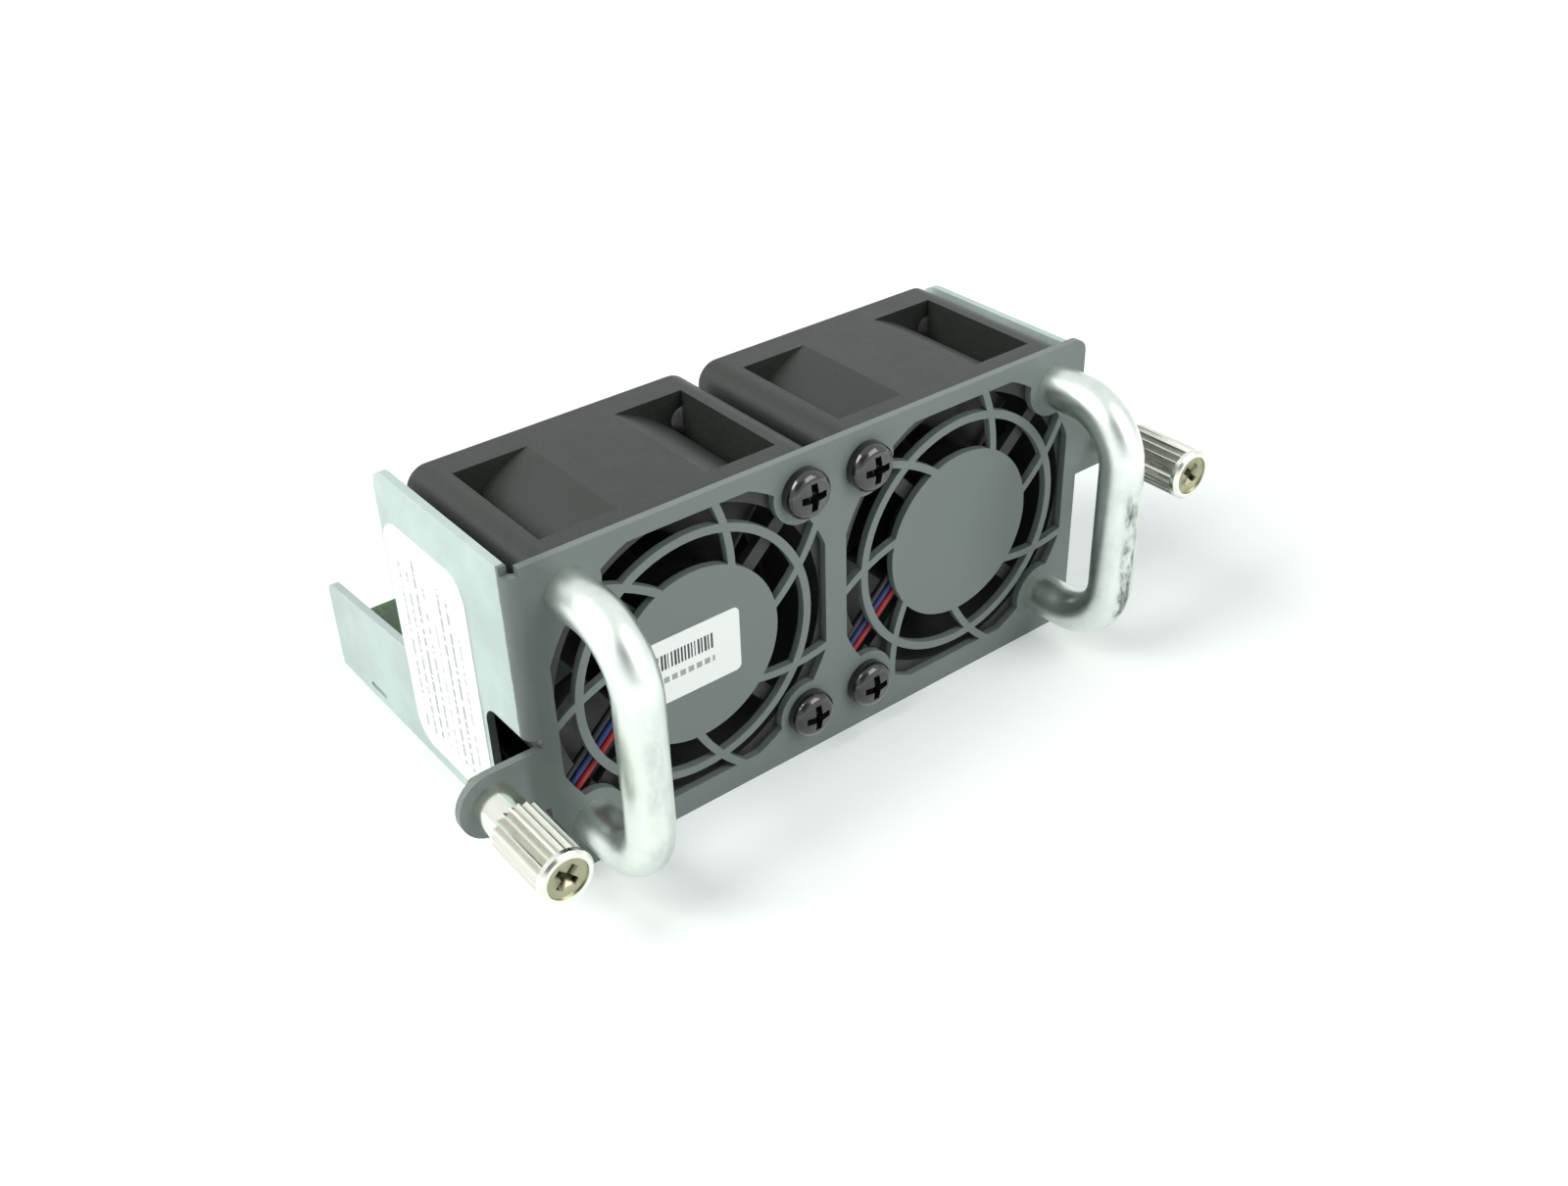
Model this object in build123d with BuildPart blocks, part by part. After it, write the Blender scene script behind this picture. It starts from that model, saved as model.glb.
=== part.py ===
from build123d import *
from math import cos, radians, sin, tan
import os

# Hot-swap fan tray for a network switch. A folded sheet carries two ducted
# fans behind a front plate with cut finger guards. Two bent pull handles and
# two captive thumbscrews are on the front, and a connector board stands
# behind the fans. X runs right seen from the front, Y to the back, Z up. The
# origin is the middle of the overall box, at its lowest edge. Millimetres.

# Clearances that every fit uses
RUNNING_GAP = 0.05  # radial, between a turning or sliding pair
PRESS_GAP = 0.02  # radial, between pieces that are pressed together
THREAD_GAP = 0.05  # radial, between a screw and the thread it forms
LOOSE_GAP = 0.2  # radial, between a screw and a plain hole
FACE_GAP = 0.08  # between two faces that stop each other

# Tray sheet
SHEET = 1.0
BEND_INSIDE = 0.6
TRAY_DEPTH = 53.4  # from the front plate's face to the rear edge
LOWER_LIP = 1.4  # plate below the floor's underside
UPPER_LIP = 1.0  # plate above the fans
FLOOR_FRONT_GAP = 0.4  # between the plate and the floor's front edge
LEAD_GAP = 1.96  # beside the left fan, where its leads run
FAN_GAP = 1.68  # between the two fans
SIDE_PLAY = 0.36  # beside the right fan
EDGE_INSET = 0.2  # right wall inside the plate's free edge
PLATE_CORNER = 2.0
LEFT_WALL_BACK = 30.5
RIGHT_WALL_BACK = 30.2
RIGHT_WALL_LOWER = 1.5  # right wall's top below the plate's top
WALL_CORNER = 3.0
STRIP_TOP = 17.8  # low rear strip of each wall, at its front
STRIP_FALL = 1.6  # how much the strip drops towards the back
STRIP_CORNER = 2.0
BEND_RELIEF = 1.3
SLOT_LENGTH = 4.4
SLOT_HEIGHT = 0.8
SLOT_MIDDLE = 42.3  # behind the plate's face
SLOT_Z = 4.3

# Mounting ears in the plane of the front plate
EAR_REACH = 5.15  # from the plate's edge to the screw axis
EAR_RADIUS = 4.3
EAR_KERF = 1.3  # gap round the ear in the wall it was cut from
NOTCH_CORNER = 2.5
LEFT_EAR_Z = 15.5
RIGHT_EAR_Z = 27.4

# Fan housings
FAN_SIZE = 40.0
FAN_DEPTH = 28.0
FAN_CORNER = 3.0
FAN_HOLE_EDGE = 4.0  # screw holes' centres from the housing's sides
FLANGE = 4.0  # front one
REAR_FLANGE = 5.0
REAR_EDGE = 0.9  # rounding of the housing's rear edges
RIM_WALL = 1.1  # housing round the bore, at its thinnest
BARREL_WALL = 2.0
POST_WIDTH = 4.0  # corner posts between the flanges
POST_HEIGHT = 7.1
BASE_RADIUS = 10.4
BASE_THICKNESS = 1.3
BASE_RECESS = 0.3  # base behind the flange's front face
BASE_POCKET = 2.3
STRUT_WIDTH = 2.0
STRUT_THICKNESS = 1.2
STRUT_ANGLES = (43, 133, 223, 313)

# Impeller and motor, with depths measured from the fan's front face
BLADES = 5
TIP_GAP = 0.5
HUB_RADIUS = 10.6
HUB_WALL = 1.05
HUB_FRONT = 2.4
HUB_REAR = 25.4
HUB_END = 1.3
HUB_ROUND = 0.8
BLADE_FRONT = 5.6
BLADE_REAR = 23.4
BLADE_EDGE = 1.0  # trimmed from each tip to leave a flat edge
BLADE_THICKNESS = 1.1
ROOT_ANGLE = 54  # blade angle from the plane of rotation, at the hub
TIP_ANGLE = 38
BLADE_CAMBER = 1.5
CUP_WALL = 0.65
CUP_FRONT = 5.0
CUP_BOSS = 1.9
MAGNET_WALL = 1.2
MAGNET_FRONT = 5.4
MAGNET_LENGTH = 13.0
AIR_GAP = 0.35
SHAFT_RADIUS = 1.0
SHAFT_FRONT = 1.0
BEARING_RADIUS = 2.5
BEARING_WIDTH = 2.3
BEARING_FRONTS = (2.6, 16.0)
TUBE_WALL = 0.85
TUBE_END = 18.6
STATOR_FRONT = 6.6
STATOR_LENGTH = 10.0
STATOR_POLES = 4
POLE_WIDTH = 2.4
POLE_TIP = 1.1
POLE_SLOT = 1.2
BOBBIN = 1.2  # insulation and wire on each side of a pole
MOTOR_BOARD_FRONT = 2.9
MOTOR_BOARD_THICKNESS = 0.8
MOTOR_BOARD_RADIUS = 9.1
CLIP_THICKNESS = 0.3
CLIP_RADIUS = 1.9
CLIP_FRONT = 1.5

# Finger guard cut in the plate in front of each fan
GUARD_OUTSIDE = 1.7  # opening's arcs outside the fan's bore
GUARD_SIDE = 0.8  # opening's flats inside the fan's sides
GUARD_TOP = 1.1  # and inside its top and bottom
GUARD_DISC_RADIUS = 11.65
GUARD_RING_GAP = 2.1  # ring inside the fan's bore
GUARD_RING_WIDTH = 1.1
GUARD_BOSS = 4.3  # plate left round each fan screw
SPOKES = 7
SPOKE_WIDTH = 1.0
SPOKE_START_ANGLE = 9.6  # where the first spoke leaves the disc
SPOKE_MIDDLE_ANGLE = 21.8
SPOKE_END_ANGLE = 31.5

# Handles
HANDLE_REACH = 12.3  # bar axis in front of the plate
HANDLE_RADIUS = 2.85
HANDLE_BEND = 7.5
HANDLE_TAP_DEPTH = 6.5

# Screws
SCREW_RADIUS = 1.5
SCREW_HEAD = 2.5
SCREW_HEAD_HEIGHT = 1.7
HANDLE_SCREW_GRIP = 5.5  # into the handle's leg
FAN_SCREW_RADIUS = 1.7
FAN_SCREW_HEAD = 3.15
FAN_SCREW_HEAD_HEIGHT = 2.3
FAN_SCREW_EDGE = 0.8
FAN_SCREW_CROWN = 2.1
FAN_SCREW_SHOULDER = 1.9
FAN_SCREW_FLAT = 0.95
FAN_SCREW_GRIP = 3.6  # into the fan's flange
FAN_SCREW_CROSS = 3.7
CROSS_WIDTH = 1.0
CROSS_DEPTH = 1.2
CROSS_TAPER = 12

# Captive thumbscrews, with depths measured from the plate's face
THREAD_RADIUS = 1.5
THREAD_OUT = 3.6  # thread behind the ear with the knob out
SHANK_RADIUS = 1.3
SHANK_LENGTH = 2.5  # plain shank between the thread and the neck
NECK_RADIUS = 1.1
COLLAR_RADIUS = 2.75
COLLAR_STEP = 0.25  # shoulder that stops the collar on the ear
COLLAR_FRONT = 7.0
RING_RADIUS = 1.95
RING_THICKNESS = 0.5
KNOB_RADIUS = 3.35
KNOB_BACK = 5.0
KNOB_FRONT = 15.2
KNOB_FLOOR = 13.2
KNOB_RIM = 0.9
KNOB_CHAMFER = 0.3
KNURLS = 20
KNURL_SIZE = 0.7
HEAD_RADIUS = 2.55
HEAD_SINK = 0.25  # screw head's face behind the knob's rim
HEAD_THICKNESS = 1.2
HEAD_CROSS = 3.3
HEAD_CROSS_DEPTH = 0.9
SPRING_WIRE = 0.2  # radius
SPRING_TURNS = 4

# Connector board behind the fans
BOARD_THICKNESS = 1.6
BOARD_TOP = 9.6
BOARD_REAR_GAP = 0.2  # board's rear edge inside the tray's
BOARD_FAN_GAP = 1.2
BOARD_SIDE_GAP = 1.0
BOARD_CORNER = 1.0
STANDOFF_RADIUS = 2.2
STANDOFF_INSET = 15.0  # from the board's ends, clear of the leads
STANDOFF_EDGE = 3.3  # from its front and rear edges
BOARD_SCREW_RADIUS = 1.0
BOARD_SCREW_HEAD = 1.9
BOARD_SCREW_HEAD_HEIGHT = 1.3
BOARD_SCREW_ROUND = 0.5
BOARD_SCREW_LENGTH = 4.5
BOARD_CROSS = 2.2
BOARD_CROSS_WIDTH = 0.5
BOARD_CROSS_DEPTH = 0.6

# Receptacle on the board's rear edge
PLUG_X = -5.0
PLUG_WIDTH = 18.0
PLUG_DEPTH = 8.0
PLUG_HEIGHT = 7.0
PLUG_CHAMFER = 0.6
CONTACT_COLUMNS = 4
CONTACT_SPACING = 3.6
CONTACT_ROW_SPACING = 3.2
CONTACT_HOLE = 1.1
CONTACT_HOLE_DEPTH = 5.0
CONTACT_TAIL = 0.6
LOWER_TAIL_REACH = 1.2
UPPER_TAIL_REACH = 2.6

# Lead headers on the board and the plugs in them
HEADER_WIDTH = 7.6
HEADER_DEPTH = 5.6
HEADER_HEIGHT = 5.2
HEADER_WALL = 0.7
HEADER_SETBACK = 11.7  # header's mouth behind the board's front edge
HEADER_INSET = 8.4  # header's middle inside the fan's left side
PLUG_OUT = 2.6  # lead plug in front of its header
PLUG_LEAD_SPACING = 1.7

# Fan leads: out of the motor, slantwise to the side, round the corner, back
LEAD_RADIUS = 0.45
LEAD_SPACING = 1.2
LEAD_ANGLE = 223  # direction they leave the motor in, beside a strut
LEAD_OFFSET = 4.3  # middle lead's line from the fan's axis
LEAD_START = 6.0  # where the leads leave the motor board, along that line
LEAD_FRONT = 0.6  # lead axis behind the fan's front face
LEAD_SIDE = 0.84  # lead axis outside the fan's side
LEAD_RISE = 3.6  # how much the leads climb on their way back
LEAD_BEHIND = 2.2  # turn point behind the fan
LEAD_LAST_RUN = 4.3  # last run into the plug
LEAD_SPREAD = 0.6  # how much sooner a lead turns for each step to the right
LEAD_BENDS = (0.95, 2.9, 4.2, 4.0)
LEAD_MARGIN = 0.35
NOTCH_DEPTH = 2.4
NOTCH_START = 16.0  # along the leads' line, inside the bore
NOTCH_TURN = 20.2  # where the leads begin to turn back

# Labels
LABEL_THICKNESS = 0.12
SIDE_LABEL_LENGTH = 19.2
SIDE_LABEL_HEIGHT = 32.4
SIDE_LABEL_FRONT = 10.8
SIDE_LABEL_BOTTOM = 4.6
SIDE_LABEL_CORNER = 3.5
HUB_LABEL_WIDTH = 15.3
HUB_LABEL_HEIGHT = 8.9
HUB_LABEL_CORNER = 0.8
HUB_LABEL_SHIFT = -1.7

# Values that follow from the ones above
PLATE_WIDTH = SHEET + LEAD_GAP + 2 * FAN_SIZE + FAN_GAP + SIDE_PLAY + SHEET + EDGE_INSET
PLATE_HALF = PLATE_WIDTH / 2
FLOOR_TOP = LOWER_LIP + SHEET
FAN_Z = FLOOR_TOP + FAN_SIZE / 2
BORE_RADIUS = FAN_SIZE / 2 - RIM_WALL
FAN_HOLE_PITCH = FAN_SIZE - 2 * FAN_HOLE_EDGE
PLATE_HEIGHT = FLOOR_TOP + FAN_SIZE + UPPER_LIP
BEND_OUTSIDE = BEND_INSIDE + SHEET
BEND_TOP = FLOOR_TOP + BEND_INSIDE
WALL_START = BEND_TOP + BEND_RELIEF
HOLE_HALF = FAN_HOLE_PITCH / 2
LEFT_FAN_X = -PLATE_HALF + SHEET + LEAD_GAP + FAN_SIZE / 2
RIGHT_FAN_X = LEFT_FAN_X + FAN_SIZE + FAN_GAP
RIGHT_WALL_X = PLATE_HALF - EDGE_INSET
EAR_X = PLATE_HALF + EAR_REACH
EAR_LENGTH = EAR_REACH + EAR_RADIUS
PLATE_Y = (KNOB_FRONT - TRAY_DEPTH) / 2
BARREL_RADIUS = BORE_RADIUS + BARREL_WALL
CUP_RADIUS = HUB_RADIUS - HUB_WALL - PRESS_GAP
CUP_INSIDE = CUP_RADIUS - CUP_WALL
CUP_END = HUB_REAR - HUB_END - PRESS_GAP
MAGNET_RADIUS = CUP_INSIDE - PRESS_GAP
MAGNET_INSIDE = MAGNET_RADIUS - MAGNET_WALL
STATOR_RADIUS = MAGNET_INSIDE - AIR_GAP
TUBE_BORE = BEARING_RADIUS + PRESS_GAP
TUBE_RADIUS = TUBE_BORE + TUBE_WALL
STATOR_SEAT = TUBE_RADIUS + PRESS_GAP
YOKE_RADIUS = STATOR_SEAT + POLE_TIP
RIM_INSIDE = STATOR_RADIUS - POLE_TIP
SHAFT_GRIP = SHAFT_RADIUS + PRESS_GAP
BLADE_TIP = BORE_RADIUS - TIP_GAP
GUARD_RADIUS = BORE_RADIUS + GUARD_OUTSIDE
GUARD_HALF_WIDTH = FAN_SIZE / 2 - GUARD_SIDE
GUARD_HALF_HEIGHT = FAN_SIZE / 2 - GUARD_TOP
GUARD_RING_OUT = BORE_RADIUS - GUARD_RING_GAP
GUARD_RING_IN = GUARD_RING_OUT - GUARD_RING_WIDTH
GUARD_RING = (GUARD_RING_IN + GUARD_RING_OUT) / 2
EAR_HOLE = COLLAR_RADIUS - COLLAR_STEP
COLLAR_SHANK = EAR_HOLE - PRESS_GAP
COLLAR_WIDE = RING_RADIUS + RUNNING_GAP
COLLAR_GUIDE = THREAD_RADIUS + RUNNING_GAP
THREAD_TIP = SHEET + THREAD_OUT
SHANK_FRONT = SHEET - SHANK_LENGTH
RING_FRONT = SHANK_FRONT - PRESS_GAP - RING_THICKNESS
HEAD_FRONT = KNOB_FRONT - HEAD_SINK
HEAD_SEAT = HEAD_FRONT - HEAD_THICKNESS
KNOB_BORE = COLLAR_RADIUS + RUNNING_GAP
SPRING_RADIUS = (NECK_RADIUS + COLLAR_RADIUS) / 2
BOARD_UNDER = BOARD_TOP - BOARD_THICKNESS
BOARD_LEFT = -PLATE_HALF + SHEET + BOARD_SIDE_GAP
BOARD_RIGHT = RIGHT_WALL_X - SHEET - BOARD_SIDE_GAP
BOARD_FRONT = SHEET + FAN_DEPTH + BOARD_FAN_GAP
BOARD_BACK = TRAY_DEPTH - BOARD_REAR_GAP
PLUG_Z = BOARD_TOP + PLUG_HEIGHT / 2
PLUG_FRONT = TRAY_DEPTH - PLUG_DEPTH
LEAD_PLUG_GAP = HEADER_WALL + RUNNING_GAP
HEADER_FRONT = BOARD_FRONT + HEADER_SETBACK
HEADER_OFFSET = HEADER_INSET - FAN_SIZE / 2
LEAD_PLUG_FRONT = HEADER_FRONT - PLUG_OUT
LEAD_BAND = 2 * (LEAD_SPACING + LEAD_RADIUS + LEAD_MARGIN)
LEAD_CHANNEL = 2 * LEAD_FRONT

FANS = {"left": LEFT_FAN_X, "right": RIGHT_FAN_X}
EARS = {"left": (-EAR_X, LEFT_EAR_Z), "right": (EAR_X, RIGHT_EAR_Z)}
HANDLES = {"left": LEFT_FAN_X - HOLE_HALF, "right": RIGHT_FAN_X + HOLE_HALF}
SCREW_ROWS = (FAN_Z - HOLE_HALF, FAN_Z + HOLE_HALF)
LEADS = {"red": -1, "blue": 0, "black": 1}
BOARD_POSTS = [
    (x, PLATE_Y + depth)
    for x in (BOARD_LEFT + STANDOFF_INSET, BOARD_RIGHT - STANDOFF_INSET)
    for depth in (BOARD_FRONT + STANDOFF_EDGE, BOARD_BACK - STANDOFF_EDGE)
]
CONTACTS = [
    (PLUG_X + (column - (CONTACT_COLUMNS - 1) / 2) * CONTACT_SPACING, row * CONTACT_ROW_SPACING / 2)
    for column in range(CONTACT_COLUMNS)
    for row in (-1, 1)
]


def front(x, z, depth=0.0):
    """Plane that looks out of the front, at a depth behind the plate's face."""
    return Plane(origin=(x, PLATE_Y + depth, z), x_dir=(1, 0, 0), z_dir=(0, -1, 0))


def section(x, z, depth=0.0):
    """Plane through a turning axis: its x runs to the back, its y is the radius."""
    return Plane(origin=(x, PLATE_Y + depth, z), x_dir=(0, 1, 0), z_dir=(1, 0, 0))


def polar(radius, angle):
    """Flat point at a radius and an angle in degrees."""
    return (radius * cos(radians(angle)), radius * sin(radians(angle)))


os.makedirs("parts", exist_ok=True)

# One guard spoke, swept from the middle disc through the ring to the rim
with BuildSketch() as spoke:
    with BuildLine() as spoke_path:
        ThreePointArc(
            polar(GUARD_DISC_RADIUS - SPOKE_WIDTH / 2, SPOKE_START_ANGLE),
            polar(GUARD_RING, SPOKE_MIDDLE_ANGLE),
            polar(GUARD_RADIUS + SPOKE_WIDTH / 2, SPOKE_END_ANGLE),
        )
    trace(line_width=SPOKE_WIDTH)

# What is cut from the plate in front of a fan
with BuildSketch() as guard_opening:
    Circle(GUARD_RADIUS)
    Rectangle(2 * GUARD_HALF_WIDTH, 2 * GUARD_HALF_HEIGHT, mode=Mode.INTERSECT)
    with GridLocations(FAN_HOLE_PITCH, FAN_HOLE_PITCH, 2, 2):
        Circle(GUARD_BOSS, mode=Mode.SUBTRACT)
    Circle(GUARD_RING_OUT, mode=Mode.SUBTRACT)
    Circle(GUARD_RING_IN)
    Circle(GUARD_DISC_RADIUS, mode=Mode.SUBTRACT)
    with PolarLocations(0, SPOKES):
        add(spoke.sketch, mode=Mode.SUBTRACT)

# Floor and side walls in one folded section
with BuildSketch(front(0, 0, SHEET + FLOOR_FRONT_GAP)) as fold:
    with BuildLine():
        FilletPolyline(
            (-PLATE_HALF, PLATE_HEIGHT),
            (-PLATE_HALF, LOWER_LIP),
            (RIGHT_WALL_X, LOWER_LIP),
            (RIGHT_WALL_X, PLATE_HEIGHT),
            radius=BEND_OUTSIDE,
        )
        Line((RIGHT_WALL_X, PLATE_HEIGHT), (RIGHT_WALL_X - SHEET, PLATE_HEIGHT))
        FilletPolyline(
            (RIGHT_WALL_X - SHEET, PLATE_HEIGHT),
            (RIGHT_WALL_X - SHEET, FLOOR_TOP),
            (-PLATE_HALF + SHEET, FLOOR_TOP),
            (-PLATE_HALF + SHEET, PLATE_HEIGHT),
            radius=BEND_INSIDE,
        )
        Line((-PLATE_HALF + SHEET, PLATE_HEIGHT), (-PLATE_HALF, PLATE_HEIGHT))
    make_face()

# Side outlines of the walls, each with its low strip at the back
strip_rear = STRIP_TOP - STRIP_FALL
with BuildPart() as wall_envelope:
    for back, top, reach in (
        (LEFT_WALL_BACK, PLATE_HEIGHT, -PLATE_WIDTH),
        (RIGHT_WALL_BACK, PLATE_HEIGHT - RIGHT_WALL_LOWER, PLATE_WIDTH),
    ):
        with BuildSketch(section(0, 0)) as outline:
            with BuildLine():
                Polyline(
                    (0, 0),
                    (TRAY_DEPTH, 0),
                    (TRAY_DEPTH, strip_rear),
                    (back, STRIP_TOP),
                    (back, top),
                    (0, top),
                    close=True,
                )
            make_face()
            fillet(outline.vertices().sort_by_distance((back, top))[0], WALL_CORNER)
            fillet(outline.vertices().sort_by_distance((TRAY_DEPTH, strip_rear))[0], STRIP_CORNER)
        extrude(amount=reach)

# Tray sheet: plate, ears, bends, floor and walls from one piece of metal
with BuildPart() as tray_sheet:
    extrude(fold.sketch, amount=-(TRAY_DEPTH - SHEET - FLOOR_FRONT_GAP))
    add(wall_envelope.part, mode=Mode.INTERSECT)
    # open the corner where the plate's bend and the floor's bend would meet
    with BuildSketch(section(-PLATE_HALF - SHEET, BEND_TOP)):
        Rectangle(BEND_OUTSIDE + BEND_RELIEF, 2 * BEND_RELIEF, align=(Align.MIN, Align.CENTER))
    extrude(amount=2 * SHEET, mode=Mode.SUBTRACT)
    # upright bend between plate and left wall
    with BuildSketch(Plane.XY.offset(WALL_START)):
        with Locations((-PLATE_HALF + BEND_OUTSIDE, PLATE_Y + BEND_OUTSIDE)):
            Circle(BEND_OUTSIDE)
            Circle(BEND_INSIDE, mode=Mode.SUBTRACT)
            Rectangle(
                BEND_OUTSIDE,
                BEND_OUTSIDE,
                align=(Align.MAX, Align.MAX),
                mode=Mode.INTERSECT,
            )
        with Locations((-PLATE_HALF, PLATE_Y + BEND_OUTSIDE)):
            Rectangle(SHEET, BEND_RELIEF, align=(Align.MIN, Align.MIN))
    extrude(amount=PLATE_HEIGHT - UPPER_LIP - WALL_START)
    # gap that the left ear left in the wall when it was cut free
    with BuildSketch(section(-PLATE_HALF - SHEET, LEFT_EAR_Z)) as ear_gap:
        Rectangle(
            EAR_LENGTH + SHEET / 2,
            2 * (EAR_RADIUS + EAR_KERF),
            align=(Align.MIN, Align.CENTER),
        )
        fillet(ear_gap.vertices().group_by(Axis.X)[-1], NOTCH_CORNER)
    extrude(amount=SHEET + BEND_OUTSIDE, mode=Mode.SUBTRACT)
    # plate and ears
    with BuildSketch(front(PLATE_HALF, 0)) as plate:
        Rectangle(PLATE_WIDTH - BEND_OUTSIDE, PLATE_HEIGHT, align=(Align.MAX, Align.MIN))
        fillet(plate.vertices().group_by(Axis.X)[-1], PLATE_CORNER)
    extrude(amount=-SHEET)
    for (x, z), inward in zip(EARS.values(), (Align.MIN, Align.MAX)):
        with BuildSketch(front(x, z)):
            Circle(EAR_RADIUS)
            Rectangle(EAR_REACH + BEND_OUTSIDE, 2 * EAR_RADIUS, align=(inward, Align.CENTER))
        extrude(amount=-SHEET)
    for x, z in EARS.values():
        with BuildSketch(front(x, z)):
            Circle(EAR_HOLE)
        extrude(amount=-SHEET, mode=Mode.SUBTRACT)
    for x in FANS.values():
        with BuildSketch(front(x, FAN_Z)):
            add(guard_opening.sketch)
            with GridLocations(FAN_HOLE_PITCH, FAN_HOLE_PITCH, 2, 2):
                Circle(FAN_SCREW_RADIUS + LOOSE_GAP)
        extrude(amount=-SHEET, mode=Mode.SUBTRACT)
    with BuildSketch(section(-PLATE_HALF - SHEET, SLOT_Z, SLOT_MIDDLE)):
        SlotOverall(SLOT_LENGTH, SLOT_HEIGHT)
    extrude(amount=3 * SHEET, mode=Mode.SUBTRACT)
tray_sheet.part.label = "tray_sheet"
export_step(tray_sheet.part, "parts/tray_sheet.step")

# One twisted blade along +X, with its z to the front
blade_middle = -(BLADE_FRONT + BLADE_REAR) / 2
blade_half = (BLADE_REAR - BLADE_FRONT) / 2 + BLADE_EDGE
with BuildPart() as blade:
    for radius, pitch in ((HUB_RADIUS / 2, ROOT_ANGLE), (BORE_RADIUS, TIP_ANGLE)):
        lead = blade_half / tan(radians(pitch))
        crown = BLADE_CAMBER + BLADE_THICKNESS / 2
        hollow = BLADE_CAMBER - BLADE_THICKNESS / 2
        with BuildSketch(Plane(origin=(radius, 0, blade_middle), x_dir=(0, 0, -1), z_dir=(1, 0, 0))):
            with BuildLine():
                ThreePointArc((-blade_half, -lead), (-crown / 2, crown), (blade_half, lead))
                ThreePointArc((blade_half, lead), (-hollow / 2, hollow), (-blade_half, -lead))
            make_face()
    loft()

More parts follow.
